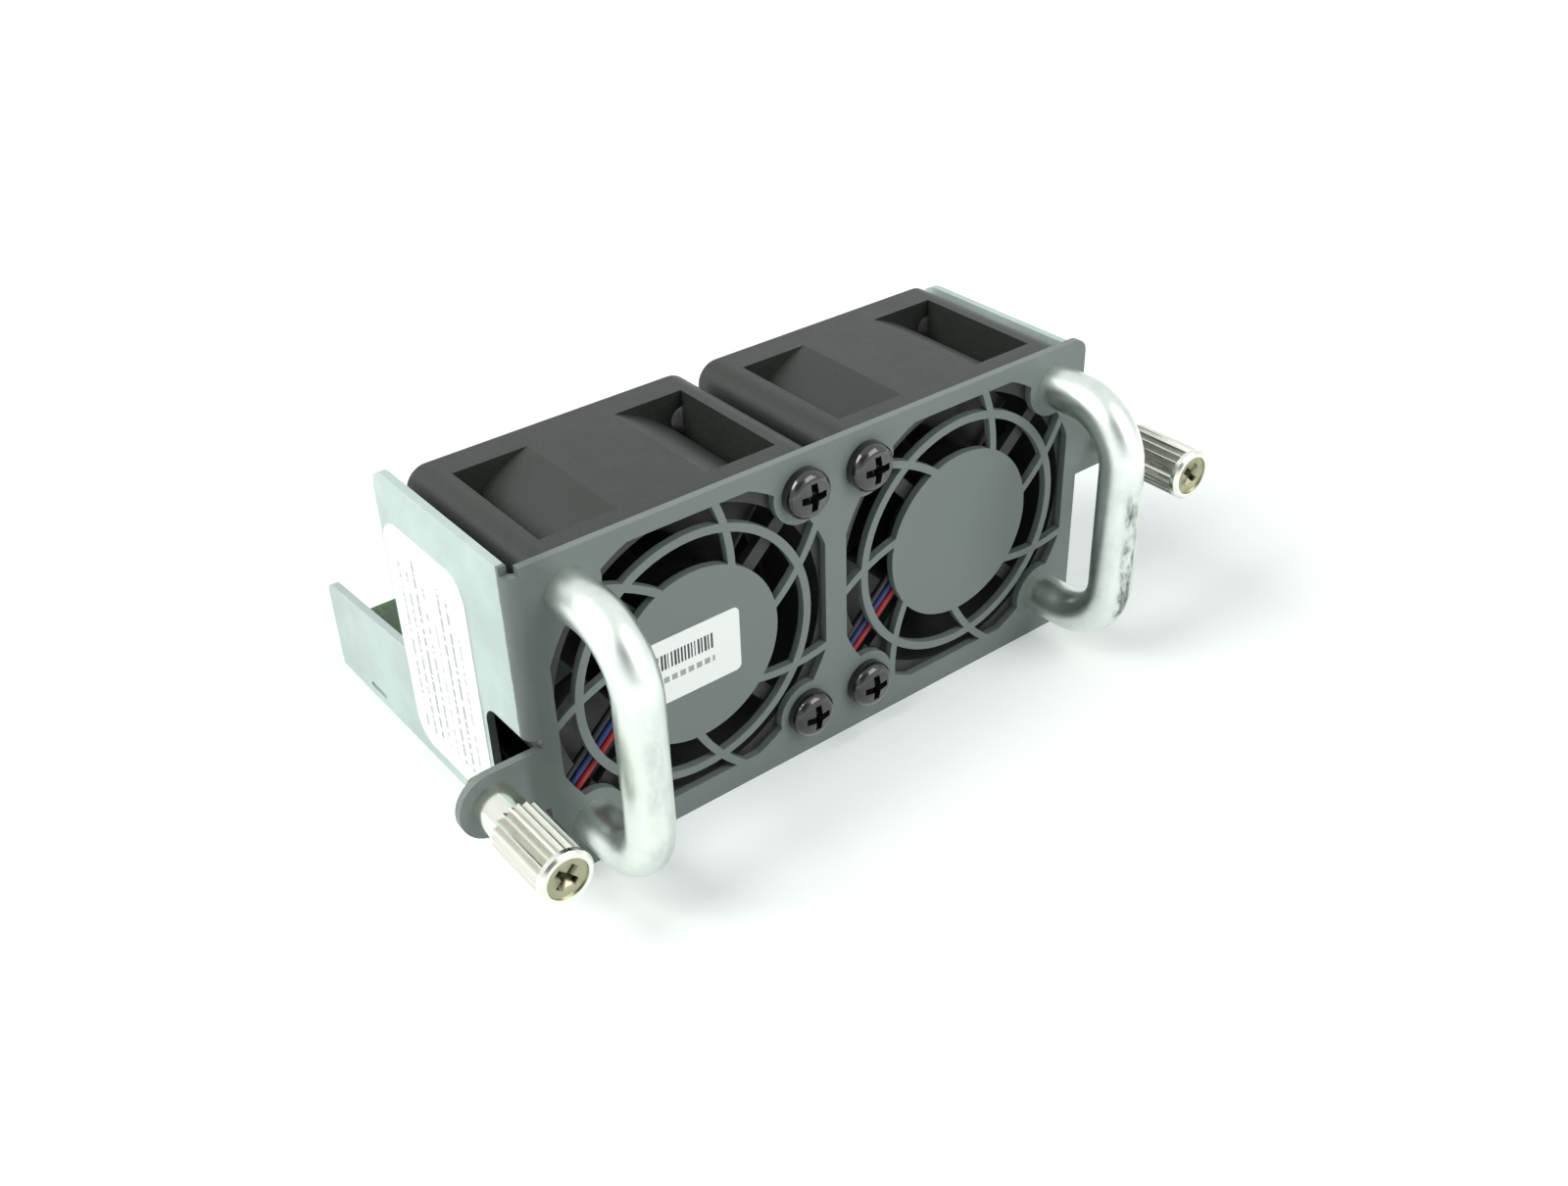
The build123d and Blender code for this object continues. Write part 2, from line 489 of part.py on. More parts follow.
for side, x in FANS.items():
    face = front(x, FAN_Z, SHEET)
    axis = Axis((x, PLATE_Y, FAN_Z), (0, 1, 0))

    # Between the flanges: the barrel, cut flat by the sides, and four posts
    with BuildSketch() as barrel:
        Circle(BARREL_RADIUS)
        Rectangle(FAN_SIZE, FAN_SIZE, mode=Mode.INTERSECT)
    with BuildSketch() as middle_section:
        RectangleRounded(FAN_SIZE, FAN_SIZE, FAN_CORNER)
        Rectangle(FAN_SIZE - 2 * POST_WIDTH, FAN_SIZE, mode=Mode.SUBTRACT)
        Rectangle(FAN_SIZE, FAN_SIZE - 2 * POST_HEIGHT, mode=Mode.SUBTRACT)
        add(barrel.sketch)
        Circle(BORE_RADIUS, mode=Mode.SUBTRACT)

    # Housing: two flanges, the middle section, motor base, struts and tube
    with BuildPart() as fan_frame:
        with BuildSketch(face.offset(-FAN_DEPTH)):
            RectangleRounded(FAN_SIZE, FAN_SIZE, FAN_CORNER)
        extrude(amount=REAR_FLANGE)
        fillet(fan_frame.faces().sort_by(Axis.Y)[-1].edges(), REAR_EDGE)
        with BuildSketch(face):
            RectangleRounded(FAN_SIZE, FAN_SIZE, FAN_CORNER)
        extrude(amount=-FLANGE)
        with BuildSketch(face):
            Circle(BORE_RADIUS)
            with GridLocations(FAN_HOLE_PITCH, FAN_HOLE_PITCH, 2, 2):
                Circle(FAN_SCREW_RADIUS + THREAD_GAP)
        extrude(amount=-FAN_DEPTH, mode=Mode.SUBTRACT)
        with BuildSketch(face.offset(-FLANGE)):
            add(middle_section.sketch)
        extrude(amount=-(FAN_DEPTH - FLANGE - REAR_FLANGE))
        # hollows that the handle screws' heads sit in
        with BuildSketch(front(HANDLES[side], FAN_Z, SHEET)):
            with GridLocations(0, FAN_HOLE_PITCH, 1, 2):
                Circle(SCREW_HEAD + LOOSE_GAP)
        extrude(amount=-(SCREW_HEAD_HEIGHT + LOOSE_GAP), mode=Mode.SUBTRACT)
        # struts end inside the barrel's wall and the base's rim
        strut_middle = (BORE_RADIUS + BASE_RADIUS) / 2
        strut_length = BORE_RADIUS - BASE_RADIUS + RIM_WALL
        with BuildSketch(face.offset(-BASE_RECESS)):
            for angle in STRUT_ANGLES:
                with PolarLocations(strut_middle, 1, start_angle=angle):
                    Rectangle(strut_length, STRUT_WIDTH)
        extrude(amount=-STRUT_THICKNESS)
        with BuildSketch(face.offset(-BASE_RECESS)):
            Circle(BASE_RADIUS)
        extrude(amount=-BASE_THICKNESS)
        with BuildSketch(face.offset(-BASE_RECESS)):
            Circle(TUBE_RADIUS)
        extrude(amount=-(TUBE_END - BASE_RECESS))
        with BuildSketch(face):
            Circle(BASE_POCKET)
        extrude(amount=-BEARING_FRONTS[0], mode=Mode.SUBTRACT)
        with BuildSketch(face.offset(-BEARING_FRONTS[0])):
            Circle(TUBE_BORE)
        extrude(amount=-TUBE_END, mode=Mode.SUBTRACT)
        # for the leads: slot and channel in the base, and a way out through
        # the flange that gets deeper where they turn back
        lead_slot = LEAD_RADIUS + LEAD_MARGIN
        for start, length, depth in (
            (LEAD_START - lead_slot, 2 * lead_slot, MOTOR_BOARD_FRONT),
            (LEAD_START, BASE_RADIUS - LEAD_START, LEAD_CHANNEL),
            (NOTCH_START, FAN_SIZE / 2, LEAD_CHANNEL),
            (NOTCH_TURN, FAN_SIZE / 2, NOTCH_DEPTH),
        ):
            with BuildSketch(face):
                with PolarLocations(0, 1, start_angle=LEAD_ANGLE):
                    with Locations((start, -LEAD_OFFSET)):
                        Rectangle(length, LEAD_BAND, align=(Align.MIN, Align.CENTER))
            extrude(amount=-depth, mode=Mode.SUBTRACT)
    fan_frame.part.label = f"{side}_fan_frame"
    export_step(fan_frame.part, f"parts/{side}_fan_frame.step")

    # Impeller: twisted blades on a hub shell that is closed at the back
    with BuildPart() as impeller:
        with Locations(face):
            with PolarLocations(0, BLADES):
                add(blade.part)
        with BuildSketch(face.offset(-BLADE_FRONT)):
            Circle(BLADE_TIP)
            Circle(HUB_RADIUS - HUB_WALL / 2, mode=Mode.SUBTRACT)
        extrude(amount=-(BLADE_REAR - BLADE_FRONT), mode=Mode.INTERSECT)
        with BuildSketch(section(x, FAN_Z, SHEET)):
            with BuildLine():
                Polyline(
                    (HUB_FRONT, HUB_RADIUS - HUB_WALL),
                    (HUB_FRONT, HUB_RADIUS),
                    (HUB_REAR - HUB_ROUND, HUB_RADIUS),
                )
                CenterArc((HUB_REAR - HUB_ROUND, HUB_RADIUS - HUB_ROUND), HUB_ROUND, 0, 90)
                Polyline(
                    (HUB_REAR, HUB_RADIUS - HUB_ROUND),
                    (HUB_REAR, 0),
                    (HUB_REAR - HUB_END, 0),
                    (HUB_REAR - HUB_END, HUB_RADIUS - HUB_WALL),
                    (HUB_FRONT, HUB_RADIUS - HUB_WALL),
                )
            make_face()
        revolve(axis=axis)
    impeller.part.label = f"{side}_impeller"
    export_step(impeller.part, f"parts/{side}_impeller.step")

    # Steel cup inside the hub, with the boss that grips the shaft
    with BuildPart() as rotor_cup:
        with BuildSketch(section(x, FAN_Z, SHEET)):
            with BuildLine():
                Polyline(
                    (CUP_FRONT, CUP_INSIDE),
                    (CUP_FRONT, CUP_RADIUS),
                    (CUP_END, CUP_RADIUS),
                    (CUP_END, SHAFT_GRIP),
                    (CUP_END - CUP_BOSS, SHAFT_GRIP),
                    (CUP_END - CUP_BOSS, 2 * SHAFT_GRIP),
                    (CUP_END - CUP_WALL, 2 * SHAFT_GRIP),
                    (CUP_END - CUP_WALL, CUP_INSIDE),
                    close=True,
                )
            make_face()
        revolve(axis=axis)
    rotor_cup.part.label = f"{side}_rotor_cup"
    export_step(rotor_cup.part, f"parts/{side}_rotor_cup.step")

    with BuildPart() as magnet:
        with BuildSketch(face.offset(-MAGNET_FRONT)):
            Circle(MAGNET_RADIUS)
            Circle(MAGNET_INSIDE, mode=Mode.SUBTRACT)
        extrude(amount=-MAGNET_LENGTH)
    magnet.part.label = f"{side}_magnet"
    export_step(magnet.part, f"parts/{side}_magnet.step")

    with BuildPart() as shaft:
        with BuildSketch(face.offset(-SHAFT_FRONT)):
            Circle(SHAFT_RADIUS)
        extrude(amount=-(CUP_END - SHAFT_FRONT))
    shaft.part.label = f"{side}_shaft"
    export_step(shaft.part, f"parts/{side}_shaft.step")

    with BuildPart() as bearings:
        for start in BEARING_FRONTS:
            with BuildSketch(face.offset(-start)):
                Circle(BEARING_RADIUS)
                Circle(SHAFT_RADIUS + RUNNING_GAP, mode=Mode.SUBTRACT)
            extrude(amount=-BEARING_WIDTH)
    bearings.part.label = f"{side}_bearings"
    export_step(bearings.part, f"parts/{side}_bearings.step")

    # Laminated core: yoke on the tube, poles and their tips
    with BuildPart() as stator:
        with BuildSketch(face.offset(-STATOR_FRONT)):
            Circle(STATOR_RADIUS)
            Circle(RIM_INSIDE, mode=Mode.SUBTRACT)
            with PolarLocations(STATOR_RADIUS, STATOR_POLES, start_angle=180 / STATOR_POLES):
                Rectangle(3 * POLE_TIP, POLE_SLOT, mode=Mode.SUBTRACT)
            Circle(YOKE_RADIUS)
            with PolarLocations((STATOR_SEAT + RIM_INSIDE) / 2, STATOR_POLES):
                Rectangle(RIM_INSIDE - STATOR_SEAT + POLE_TIP, POLE_WIDTH)
            Circle(STATOR_SEAT, mode=Mode.SUBTRACT)
        extrude(amount=-STATOR_LENGTH)
    stator.part.label = f"{side}_stator"
    export_step(stator.part, f"parts/{side}_stator.step")

    # Coils wound round the poles, between the yoke and the tips
    with BuildPart() as windings:
        with BuildSketch(face.offset(-STATOR_FRONT + BOBBIN)):
            with PolarLocations((YOKE_RADIUS + RIM_INSIDE) / 2, STATOR_POLES):
                Rectangle(RIM_INSIDE - YOKE_RADIUS, POLE_WIDTH + 2 * BOBBIN)
            Circle(RIM_INSIDE - PRESS_GAP, mode=Mode.INTERSECT)
            Circle(YOKE_RADIUS + PRESS_GAP, mode=Mode.SUBTRACT)
        extrude(amount=-(STATOR_LENGTH + 2 * BOBBIN))
        with BuildSketch(face.offset(-STATOR_FRONT + PRESS_GAP)):
            with PolarLocations((YOKE_RADIUS + RIM_INSIDE) / 2, STATOR_POLES):
                Rectangle(RIM_INSIDE, POLE_WIDTH + 2 * PRESS_GAP)
        extrude(amount=-(STATOR_LENGTH + 2 * PRESS_GAP), mode=Mode.SUBTRACT)
    windings.part.label = f"{side}_windings"
    export_step(windings.part, f"parts/{side}_windings.step")

    with BuildPart() as motor_board:
        with BuildSketch(face.offset(-MOTOR_BOARD_FRONT)):
            Circle(MOTOR_BOARD_RADIUS)
            Circle(STATOR_SEAT, mode=Mode.SUBTRACT)
        extrude(amount=-MOTOR_BOARD_THICKNESS)
    motor_board.part.label = f"{side}_motor_board"
    export_step(motor_board.part, f"parts/{side}_motor_board.step")

    with BuildPart() as shaft_clip:
        with BuildSketch(face.offset(-CLIP_FRONT)):
            Circle(CLIP_RADIUS)
            Circle(SHAFT_GRIP, mode=Mode.SUBTRACT)
            Rectangle(SHAFT_RADIUS, CLIP_RADIUS, align=(Align.CENTER, Align.MAX), mode=Mode.SUBTRACT)
        extrude(amount=-CLIP_THICKNESS)
    shaft_clip.part.label = f"{side}_shaft_clip"
    export_step(shaft_clip.part, f"parts/{side}_shaft_clip.step")

    # Open-fronted header on the board, and the plug pushed into it
    with BuildPart() as lead_header:
        with BuildSketch(front(x + HEADER_OFFSET, BOARD_TOP, HEADER_FRONT)):
            Rectangle(HEADER_WIDTH, HEADER_HEIGHT, align=(Align.CENTER, Align.MIN))
        extrude(amount=-HEADER_DEPTH)
        mouth = lead_header.faces().sort_by(Axis.Y)[0]
        offset(amount=-HEADER_WALL, openings=mouth)
    lead_header.part.label = f"{side}_lead_header"
    export_step(lead_header.part, f"parts/{side}_lead_header.step")

    with BuildPart() as lead_plug:
        plug_inside = HEADER_DEPTH - 2 * LEAD_PLUG_GAP
        with BuildSketch(front(x + HEADER_OFFSET, BOARD_TOP + HEADER_HEIGHT / 2, LEAD_PLUG_FRONT)):
            Rectangle(HEADER_WIDTH - 2 * LEAD_PLUG_GAP, HEADER_HEIGHT - 2 * LEAD_PLUG_GAP)
        extrude(amount=-(PLUG_OUT + plug_inside))
        nose = lead_plug.edges().group_by(Axis.Y)[0].sort_by(Axis.Z)[-1]
        chamfer(nose, HEADER_WALL)
    lead_plug.part.label = f"{side}_lead_plug"
    export_step(lead_plug.part, f"parts/{side}_lead_plug.step")

    # Leads, each from the motor board to the plug
    away = polar(1, LEAD_ANGLE)
    for colour, order in LEADS.items():
        aside = LEAD_OFFSET + order * LEAD_SPACING
        start_x = LEAD_START * away[0] + aside * away[1]
        start_z = LEAD_START * away[1] - aside * away[0]
        side_x = -FAN_SIZE / 2 - LEAD_SIDE
        side_z = start_z + (side_x - start_x) * tan(radians(LEAD_ANGLE))
        plug_x = HEADER_OFFSET + order * PLUG_LEAD_SPACING
        plug_z = BOARD_TOP + HEADER_HEIGHT / 2 - FAN_Z
        behind = SHEET + FAN_DEPTH + LEAD_BEHIND
        last_turn = LEAD_PLUG_FRONT - LEAD_LAST_RUN - order * PLUG_LEAD_SPACING * LEAD_SPREAD
        route = [
            (start_x, SHEET + MOTOR_BOARD_FRONT, start_z),
            (start_x, SHEET + LEAD_FRONT, start_z),
            (side_x, SHEET + LEAD_FRONT, side_z),
            (side_x, behind, side_z + LEAD_RISE),
            (plug_x, last_turn, plug_z),
            (plug_x, LEAD_PLUG_FRONT, plug_z),
        ]
        points = [(x + a, PLATE_Y + depth, FAN_Z + c) for a, depth, c in route]
        with BuildPart() as fan_lead:
            with BuildLine() as lead_path:
                FilletPolyline(*points, radius=LEAD_BENDS)
            with BuildSketch(Plane(origin=lead_path.line @ 0, z_dir=lead_path.line % 0)):
                Circle(LEAD_RADIUS)
            sweep()
        fan_lead.part.label = f"{side}_{colour}_lead"
        export_step(fan_lead.part, f"parts/{side}_{colour}_lead.step")
        lead_length = sum(edge.length for edge in lead_path.edges())
        print(side, colour, "lead length", round(lead_length, 1), "bends", LEAD_BENDS)

# Four pan-head screws hold the fans to the plate at their inner holes
with BuildPart() as fan_screws:
    for x in (LEFT_FAN_X + HOLE_HALF, RIGHT_FAN_X - HOLE_HALF):
        for z in SCREW_ROWS:
            with BuildSketch(section(x, z)):
                with BuildLine():
                    Polyline(
                        (-FAN_SCREW_HEAD_HEIGHT, 0),
                        (SHEET + FAN_SCREW_GRIP, 0),
                        (SHEET + FAN_SCREW_GRIP, FAN_SCREW_RADIUS),
                        (0, FAN_SCREW_RADIUS),
                        (0, FAN_SCREW_HEAD),
                        (-FAN_SCREW_EDGE, FAN_SCREW_HEAD),
                    )
                    TangentArc(
                        (-FAN_SCREW_EDGE, FAN_SCREW_HEAD),
                        (-FAN_SCREW_CROWN, FAN_SCREW_SHOULDER),
                        tangent=(-1, 0),
                    )
                    Polyline(
                        (-FAN_SCREW_CROWN, FAN_SCREW_SHOULDER),
                        (-FAN_SCREW_HEAD_HEIGHT, FAN_SCREW_FLAT),
                        (-FAN_SCREW_HEAD_HEIGHT, 0),
                    )
                make_face()
            revolve(axis=Axis((x, PLATE_Y, z), (0, 1, 0)))
            with BuildSketch(front(x, z, -FAN_SCREW_HEAD_HEIGHT)):
                Rectangle(FAN_SCREW_CROSS, CROSS_WIDTH)
                Rectangle(CROSS_WIDTH, FAN_SCREW_CROSS)
            extrude(amount=-CROSS_DEPTH, taper=CROSS_TAPER, mode=Mode.SUBTRACT)
fan_screws.part.label = "fan_screws"
export_step(fan_screws.part, "parts/fan_screws.step")

# Four screws hold the handles from behind the plate. Their heads stand in
# the fans' outer holes and keep the fans in place there.
with BuildPart() as handle_screws:
    for x in HANDLES.values():
        for z in SCREW_ROWS:
            with BuildSketch(front(x, z, SHEET)):
                Circle(SCREW_HEAD)
            extrude(amount=-SCREW_HEAD_HEIGHT)
            with BuildSketch(front(x, z, SHEET)):
                Circle(SCREW_RADIUS)
            extrude(amount=SHEET + HANDLE_SCREW_GRIP)
handle_screws.part.label = "handle_screws"
export_step(handle_screws.part, "parts/handle_screws.step")

# Handles: bent rod with a tapped hole in each leg
for side, x in HANDLES.items():
    with BuildPart() as handle:
        with BuildLine():
            FilletPolyline(
                (x, PLATE_Y, SCREW_ROWS[1]),
                (x, PLATE_Y - HANDLE_REACH, SCREW_ROWS[1]),
                (x, PLATE_Y - HANDLE_REACH, SCREW_ROWS[0]),
                (x, PLATE_Y, SCREW_ROWS[0]),
                radius=HANDLE_BEND,
            )
        with BuildSketch(front(x, SCREW_ROWS[1])):
            Circle(HANDLE_RADIUS)
        sweep()
        for z in SCREW_ROWS:
            with BuildSketch(front(x, z)):
                Circle(SCREW_RADIUS + THREAD_GAP)
            extrude(amount=HANDLE_TAP_DEPTH, mode=Mode.SUBTRACT)
    handle.part.label = f"{side}_handle"
    export_step(handle.part, f"parts/{side}_handle.step")

# Captive thumbscrews
for side, (x, z) in EARS.items():
    axis = Axis((x, PLATE_Y, z), (0, 1, 0))

    # Collar pressed into the ear; the knob slides over it
    with BuildPart() as collar:
        with BuildSketch(section(x, z)):
            shoulder = RING_FRONT - FACE_GAP
            with BuildLine():
                Polyline(
                    (-COLLAR_FRONT, COLLAR_GUIDE),
                    (-COLLAR_FRONT, COLLAR_RADIUS),
                    (0, COLLAR_RADIUS),
                    (0, COLLAR_SHANK),
                    (SHEET, COLLAR_SHANK),
                    (SHEET, COLLAR_WIDE),
                    (shoulder, COLLAR_WIDE),
                    (shoulder, COLLAR_GUIDE),
                    close=True,
                )
            make_face()
        revolve(axis=axis)
    collar.part.label = f"{side}_collar"
    export_step(collar.part, f"parts/{side}_collar.step")

    # Knurled sleeve with the seat for the screw's head
    with BuildPart() as knob:
        with BuildSketch(section(x, z)):
            with BuildLine():
                Polyline(
                    (-KNOB_BACK, KNOB_BORE),
                    (-KNOB_BACK, KNOB_RADIUS),
                    (-KNOB_FRONT + KNOB_CHAMFER, KNOB_RADIUS),
                    (-KNOB_FRONT, KNOB_RADIUS - KNOB_CHAMFER),
                    (-KNOB_FRONT, HEAD_RADIUS + PRESS_GAP),
                    (-HEAD_SEAT, HEAD_RADIUS + PRESS_GAP),
                    (-HEAD_SEAT, NECK_RADIUS + PRESS_GAP),
                    (-KNOB_FLOOR, NECK_RADIUS + PRESS_GAP),
                    (-KNOB_FLOOR, KNOB_BORE),
                    close=True,
                )
            make_face()
        revolve(axis=axis)
        with BuildSketch(front(x, z, -KNOB_FRONT + KNOB_RIM)):
            with PolarLocations(KNOB_RADIUS, KNURLS):
                Rectangle(KNURL_SIZE, KNURL_SIZE, rotation=45)
        extrude(amount=-(KNOB_FRONT - KNOB_BACK - KNOB_RIM), mode=Mode.SUBTRACT)
    knob.part.label = f"{side}_knob"
    export_step(knob.part, f"parts/{side}_knob.step")

    # Screw: cross head, slim neck and threaded end
    with BuildPart() as thumb_screw:
        with BuildSketch(section(x, z)):
            tip_chamfer = THREAD_RADIUS - NECK_RADIUS
            with BuildLine():
                Polyline(
                    (-HEAD_FRONT, 0),
                    (-HEAD_FRONT, HEAD_RADIUS),
                    (-HEAD_SEAT, HEAD_RADIUS),
                    (-HEAD_SEAT, NECK_RADIUS),
                    (SHANK_FRONT, NECK_RADIUS),
                    (SHANK_FRONT, SHANK_RADIUS),
                    (SHEET, SHANK_RADIUS),
                    (SHEET, THREAD_RADIUS),
                    (THREAD_TIP - tip_chamfer, THREAD_RADIUS),
                    (THREAD_TIP, NECK_RADIUS),
                    (THREAD_TIP, 0),
                    close=True,
                )
            make_face()
        revolve(axis=axis)
        with BuildSketch(front(x, z, -HEAD_FRONT)):
            Rectangle(HEAD_CROSS, CROSS_WIDTH, rotation=45)
            Rectangle(CROSS_WIDTH, HEAD_CROSS, rotation=45)
        extrude(amount=-HEAD_CROSS_DEPTH, taper=CROSS_TAPER, mode=Mode.SUBTRACT)
    thumb_screw.part.label = f"{side}_thumb_screw"
    export_step(thumb_screw.part, f"parts/{side}_thumb_screw.step")

    # Split ring that keeps the screw in its collar
    with BuildPart() as snap_ring:
        with BuildSketch(front(x, z, RING_FRONT)):
            Circle(RING_RADIUS)
            Circle(NECK_RADIUS + RUNNING_GAP, mode=Mode.SUBTRACT)
            Rectangle(NECK_RADIUS, RING_RADIUS, align=(Align.CENTER, Align.MAX), mode=Mode.SUBTRACT)
        extrude(amount=-RING_THICKNESS)
    snap_ring.part.label = f"{side}_snap_ring"
    export_step(snap_ring.part, f"parts/{side}_snap_ring.step")

    # Spring between the collar's front and the knob's floor
    with BuildPart() as spring:
        spring_start = -KNOB_FLOOR + SPRING_WIRE + FACE_GAP
        spring_length = -COLLAR_FRONT - SPRING_WIRE - FACE_GAP - spring_start
        with BuildLine() as coil:
            Helix(
                pitch=spring_length / SPRING_TURNS,
                height=spring_length,
                radius=SPRING_RADIUS,
                center=(x, PLATE_Y + spring_start, z),
                direction=(0, 1, 0),
            )
        with BuildSketch(Plane(origin=coil.line @ 0, z_dir=coil.line % 0)):
            RegularPolygon(SPRING_WIRE, 6)
        sweep(is_frenet=True)
    spring.part.label = f"{side}_spring"
    export_step(spring.part, f"parts/{side}_spring.step")

# Connector board, its standoffs and its screws
with BuildPart() as connector_board:
    with BuildSketch(Plane.XY.offset(BOARD_UNDER)):
        with Locations(((BOARD_LEFT + BOARD_RIGHT) / 2, PLATE_Y + (BOARD_FRONT + BOARD_BACK) / 2)):
            RectangleRounded(BOARD_RIGHT - BOARD_LEFT, BOARD_BACK - BOARD_FRONT, BOARD_CORNER)
        with Locations(*BOARD_POSTS):
            Circle(BOARD_SCREW_RADIUS + LOOSE_GAP, mode=Mode.SUBTRACT)
    extrude(amount=BOARD_THICKNESS)
connector_board.part.label = "connector_board"
export_step(connector_board.part, "parts/connector_board.step")

with BuildPart() as board_standoffs:
    with BuildSketch(Plane.XY.offset(FLOOR_TOP)):
        with Locations(*BOARD_POSTS):
            Circle(STANDOFF_RADIUS)
            Circle(BOARD_SCREW_RADIUS + THREAD_GAP, mode=Mode.SUBTRACT)
    extrude(amount=BOARD_UNDER - FLOOR_TOP)
board_standoffs.part.label = "board_standoffs"
export_step(board_standoffs.part, "parts/board_standoffs.step")

with BuildPart() as board_screws:
    with BuildSketch(Plane.XY.offset(BOARD_TOP)):
        with Locations(*BOARD_POSTS):
            Circle(BOARD_SCREW_HEAD)
    extrude(amount=BOARD_SCREW_HEAD_HEIGHT)
    fillet(board_screws.edges().group_by(Axis.Z)[-1], BOARD_SCREW_ROUND)
    with BuildSketch(Plane.XY.offset(BOARD_TOP)):
        with Locations(*BOARD_POSTS):
            Circle(BOARD_SCREW_RADIUS)
    extrude(amount=-BOARD_SCREW_LENGTH)
    with BuildSketch(Plane.XY.offset(BOARD_TOP + BOARD_SCREW_HEAD_HEIGHT)):
        with Locations(*BOARD_POSTS):
            Rectangle(BOARD_CROSS, BOARD_CROSS_WIDTH)
            Rectangle(BOARD_CROSS_WIDTH, BOARD_CROSS)
    extrude(amount=-BOARD_CROSS_DEPTH, mode=Mode.SUBTRACT)
board_screws.part.label = "board_screws"
export_step(board_screws.part, "parts/board_screws.step")

# Receptacle that mates with the chassis when the tray slides home
with BuildPart() as rear_connector:
    with BuildSketch(front(0, PLUG_Z, TRAY_DEPTH)):
        with Locations((PLUG_X, 0)):
            Rectangle(PLUG_WIDTH, PLUG_HEIGHT)
    extrude(amount=PLUG_DEPTH)
    chamfer(rear_connector.faces().sort_by(Axis.Y)[-1].edges(), PLUG_CHAMFER)
    with BuildSketch(front(0, PLUG_Z, TRAY_DEPTH)):
        with Locations(*CONTACTS):
            Rectangle(CONTACT_HOLE, CONTACT_HOLE)
    extrude(amount=CONTACT_HOLE_DEPTH, mode=Mode.SUBTRACT)
rear_connector.part.label = "rear_connector"
export_step(rear_connector.part, "parts/rear_connector.step")

# Bent contact tails from the receptacle down to the board
with BuildPart() as connector_tails:
    half = CONTACT_TAIL / 2
    for x, row in CONTACTS:
        tail_reach = LOWER_TAIL_REACH if row < 0 else UPPER_TAIL_REACH
        level = PLUG_Z + row
        bend = PLUG_FRONT - tail_reach
        with BuildSketch(section(x - half, 0)):
            with BuildLine():
                Polyline(
                    (PLUG_FRONT, level + half),
                    (bend - half, level + half),
                    (bend - half, BOARD_TOP),
                    (bend + half, BOARD_TOP),
                    (bend + half, level - half),
                    (PLUG_FRONT, level - half),
                    close=True,
                )
            make_face()
        extrude(amount=CONTACT_TAIL)
connector_tails.part.label = "connector_tails"
export_step(connector_tails.part, "parts/connector_tails.step")

# Label on the left wall, and the small one on the left guard's disc
with BuildPart() as side_label:
    with BuildSketch(section(-PLATE_HALF - LABEL_THICKNESS, SIDE_LABEL_BOTTOM, SIDE_LABEL_FRONT)):
        with Locations((SIDE_LABEL_LENGTH / 2, SIDE_LABEL_HEIGHT / 2)):
            RectangleRounded(SIDE_LABEL_LENGTH, SIDE_LABEL_HEIGHT, SIDE_LABEL_CORNER)
    extrude(amount=LABEL_THICKNESS)
side_label.part.label = "side_label"
export_step(side_label.part, "parts/side_label.step")

with BuildPart() as hub_label:
    with BuildSketch(front(LEFT_FAN_X + HUB_LABEL_SHIFT, FAN_Z)):
        RectangleRounded(HUB_LABEL_WIDTH, HUB_LABEL_HEIGHT, HUB_LABEL_CORNER)
    extrude(amount=LABEL_THICKNESS)
hub_label.part.label = "hub_label"
export_step(hub_label.part, "parts/hub_label.step")
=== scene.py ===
"""Looks of a hot-swap fan tray: folded sheet, two ducted fans, pull handles and captive thumbscrews.

Metres throughout. X runs right seen from the front, Y to the back, Z up, and the floor is at Z 0.
"""

import logging
import math
from collections.abc import Callable, Iterable
from dataclasses import dataclass, field
from enum import Enum

import bmesh
import bpy
from bpy.types import Material, Mesh, Node, NodeSocket, NodeTree, Object
from mathutils import Matrix, Vector


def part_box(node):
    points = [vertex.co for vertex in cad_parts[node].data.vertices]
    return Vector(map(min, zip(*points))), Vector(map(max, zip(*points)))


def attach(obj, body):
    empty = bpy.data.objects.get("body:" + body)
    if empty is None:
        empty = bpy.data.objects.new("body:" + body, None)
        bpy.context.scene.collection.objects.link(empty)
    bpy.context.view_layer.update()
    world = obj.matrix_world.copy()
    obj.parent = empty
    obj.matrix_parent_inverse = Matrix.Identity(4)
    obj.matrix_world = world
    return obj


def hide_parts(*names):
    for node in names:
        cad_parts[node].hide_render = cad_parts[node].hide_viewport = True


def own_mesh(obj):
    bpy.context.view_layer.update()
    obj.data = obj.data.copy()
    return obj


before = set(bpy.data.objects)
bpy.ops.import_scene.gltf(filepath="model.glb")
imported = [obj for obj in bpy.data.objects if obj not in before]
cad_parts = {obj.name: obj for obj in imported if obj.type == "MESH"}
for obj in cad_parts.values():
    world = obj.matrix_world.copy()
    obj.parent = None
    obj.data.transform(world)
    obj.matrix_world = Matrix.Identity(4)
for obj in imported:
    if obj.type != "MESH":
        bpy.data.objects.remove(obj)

Colour = tuple[float, float, float, float]
Point = tuple[float, float, float]
Span = tuple[float, float]

LOG = logging.getLogger("fan_tray")
MM = 0.001
WELD = 0.001 * MM
SHARP = math.radians(35)
BLACK: Colour = (0.0, 0.0, 0.0, 1.0)
WHITE: Colour = (1.0, 1.0, 1.0, 1.0)
PLATE_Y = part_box("tray_sheet")[0].y


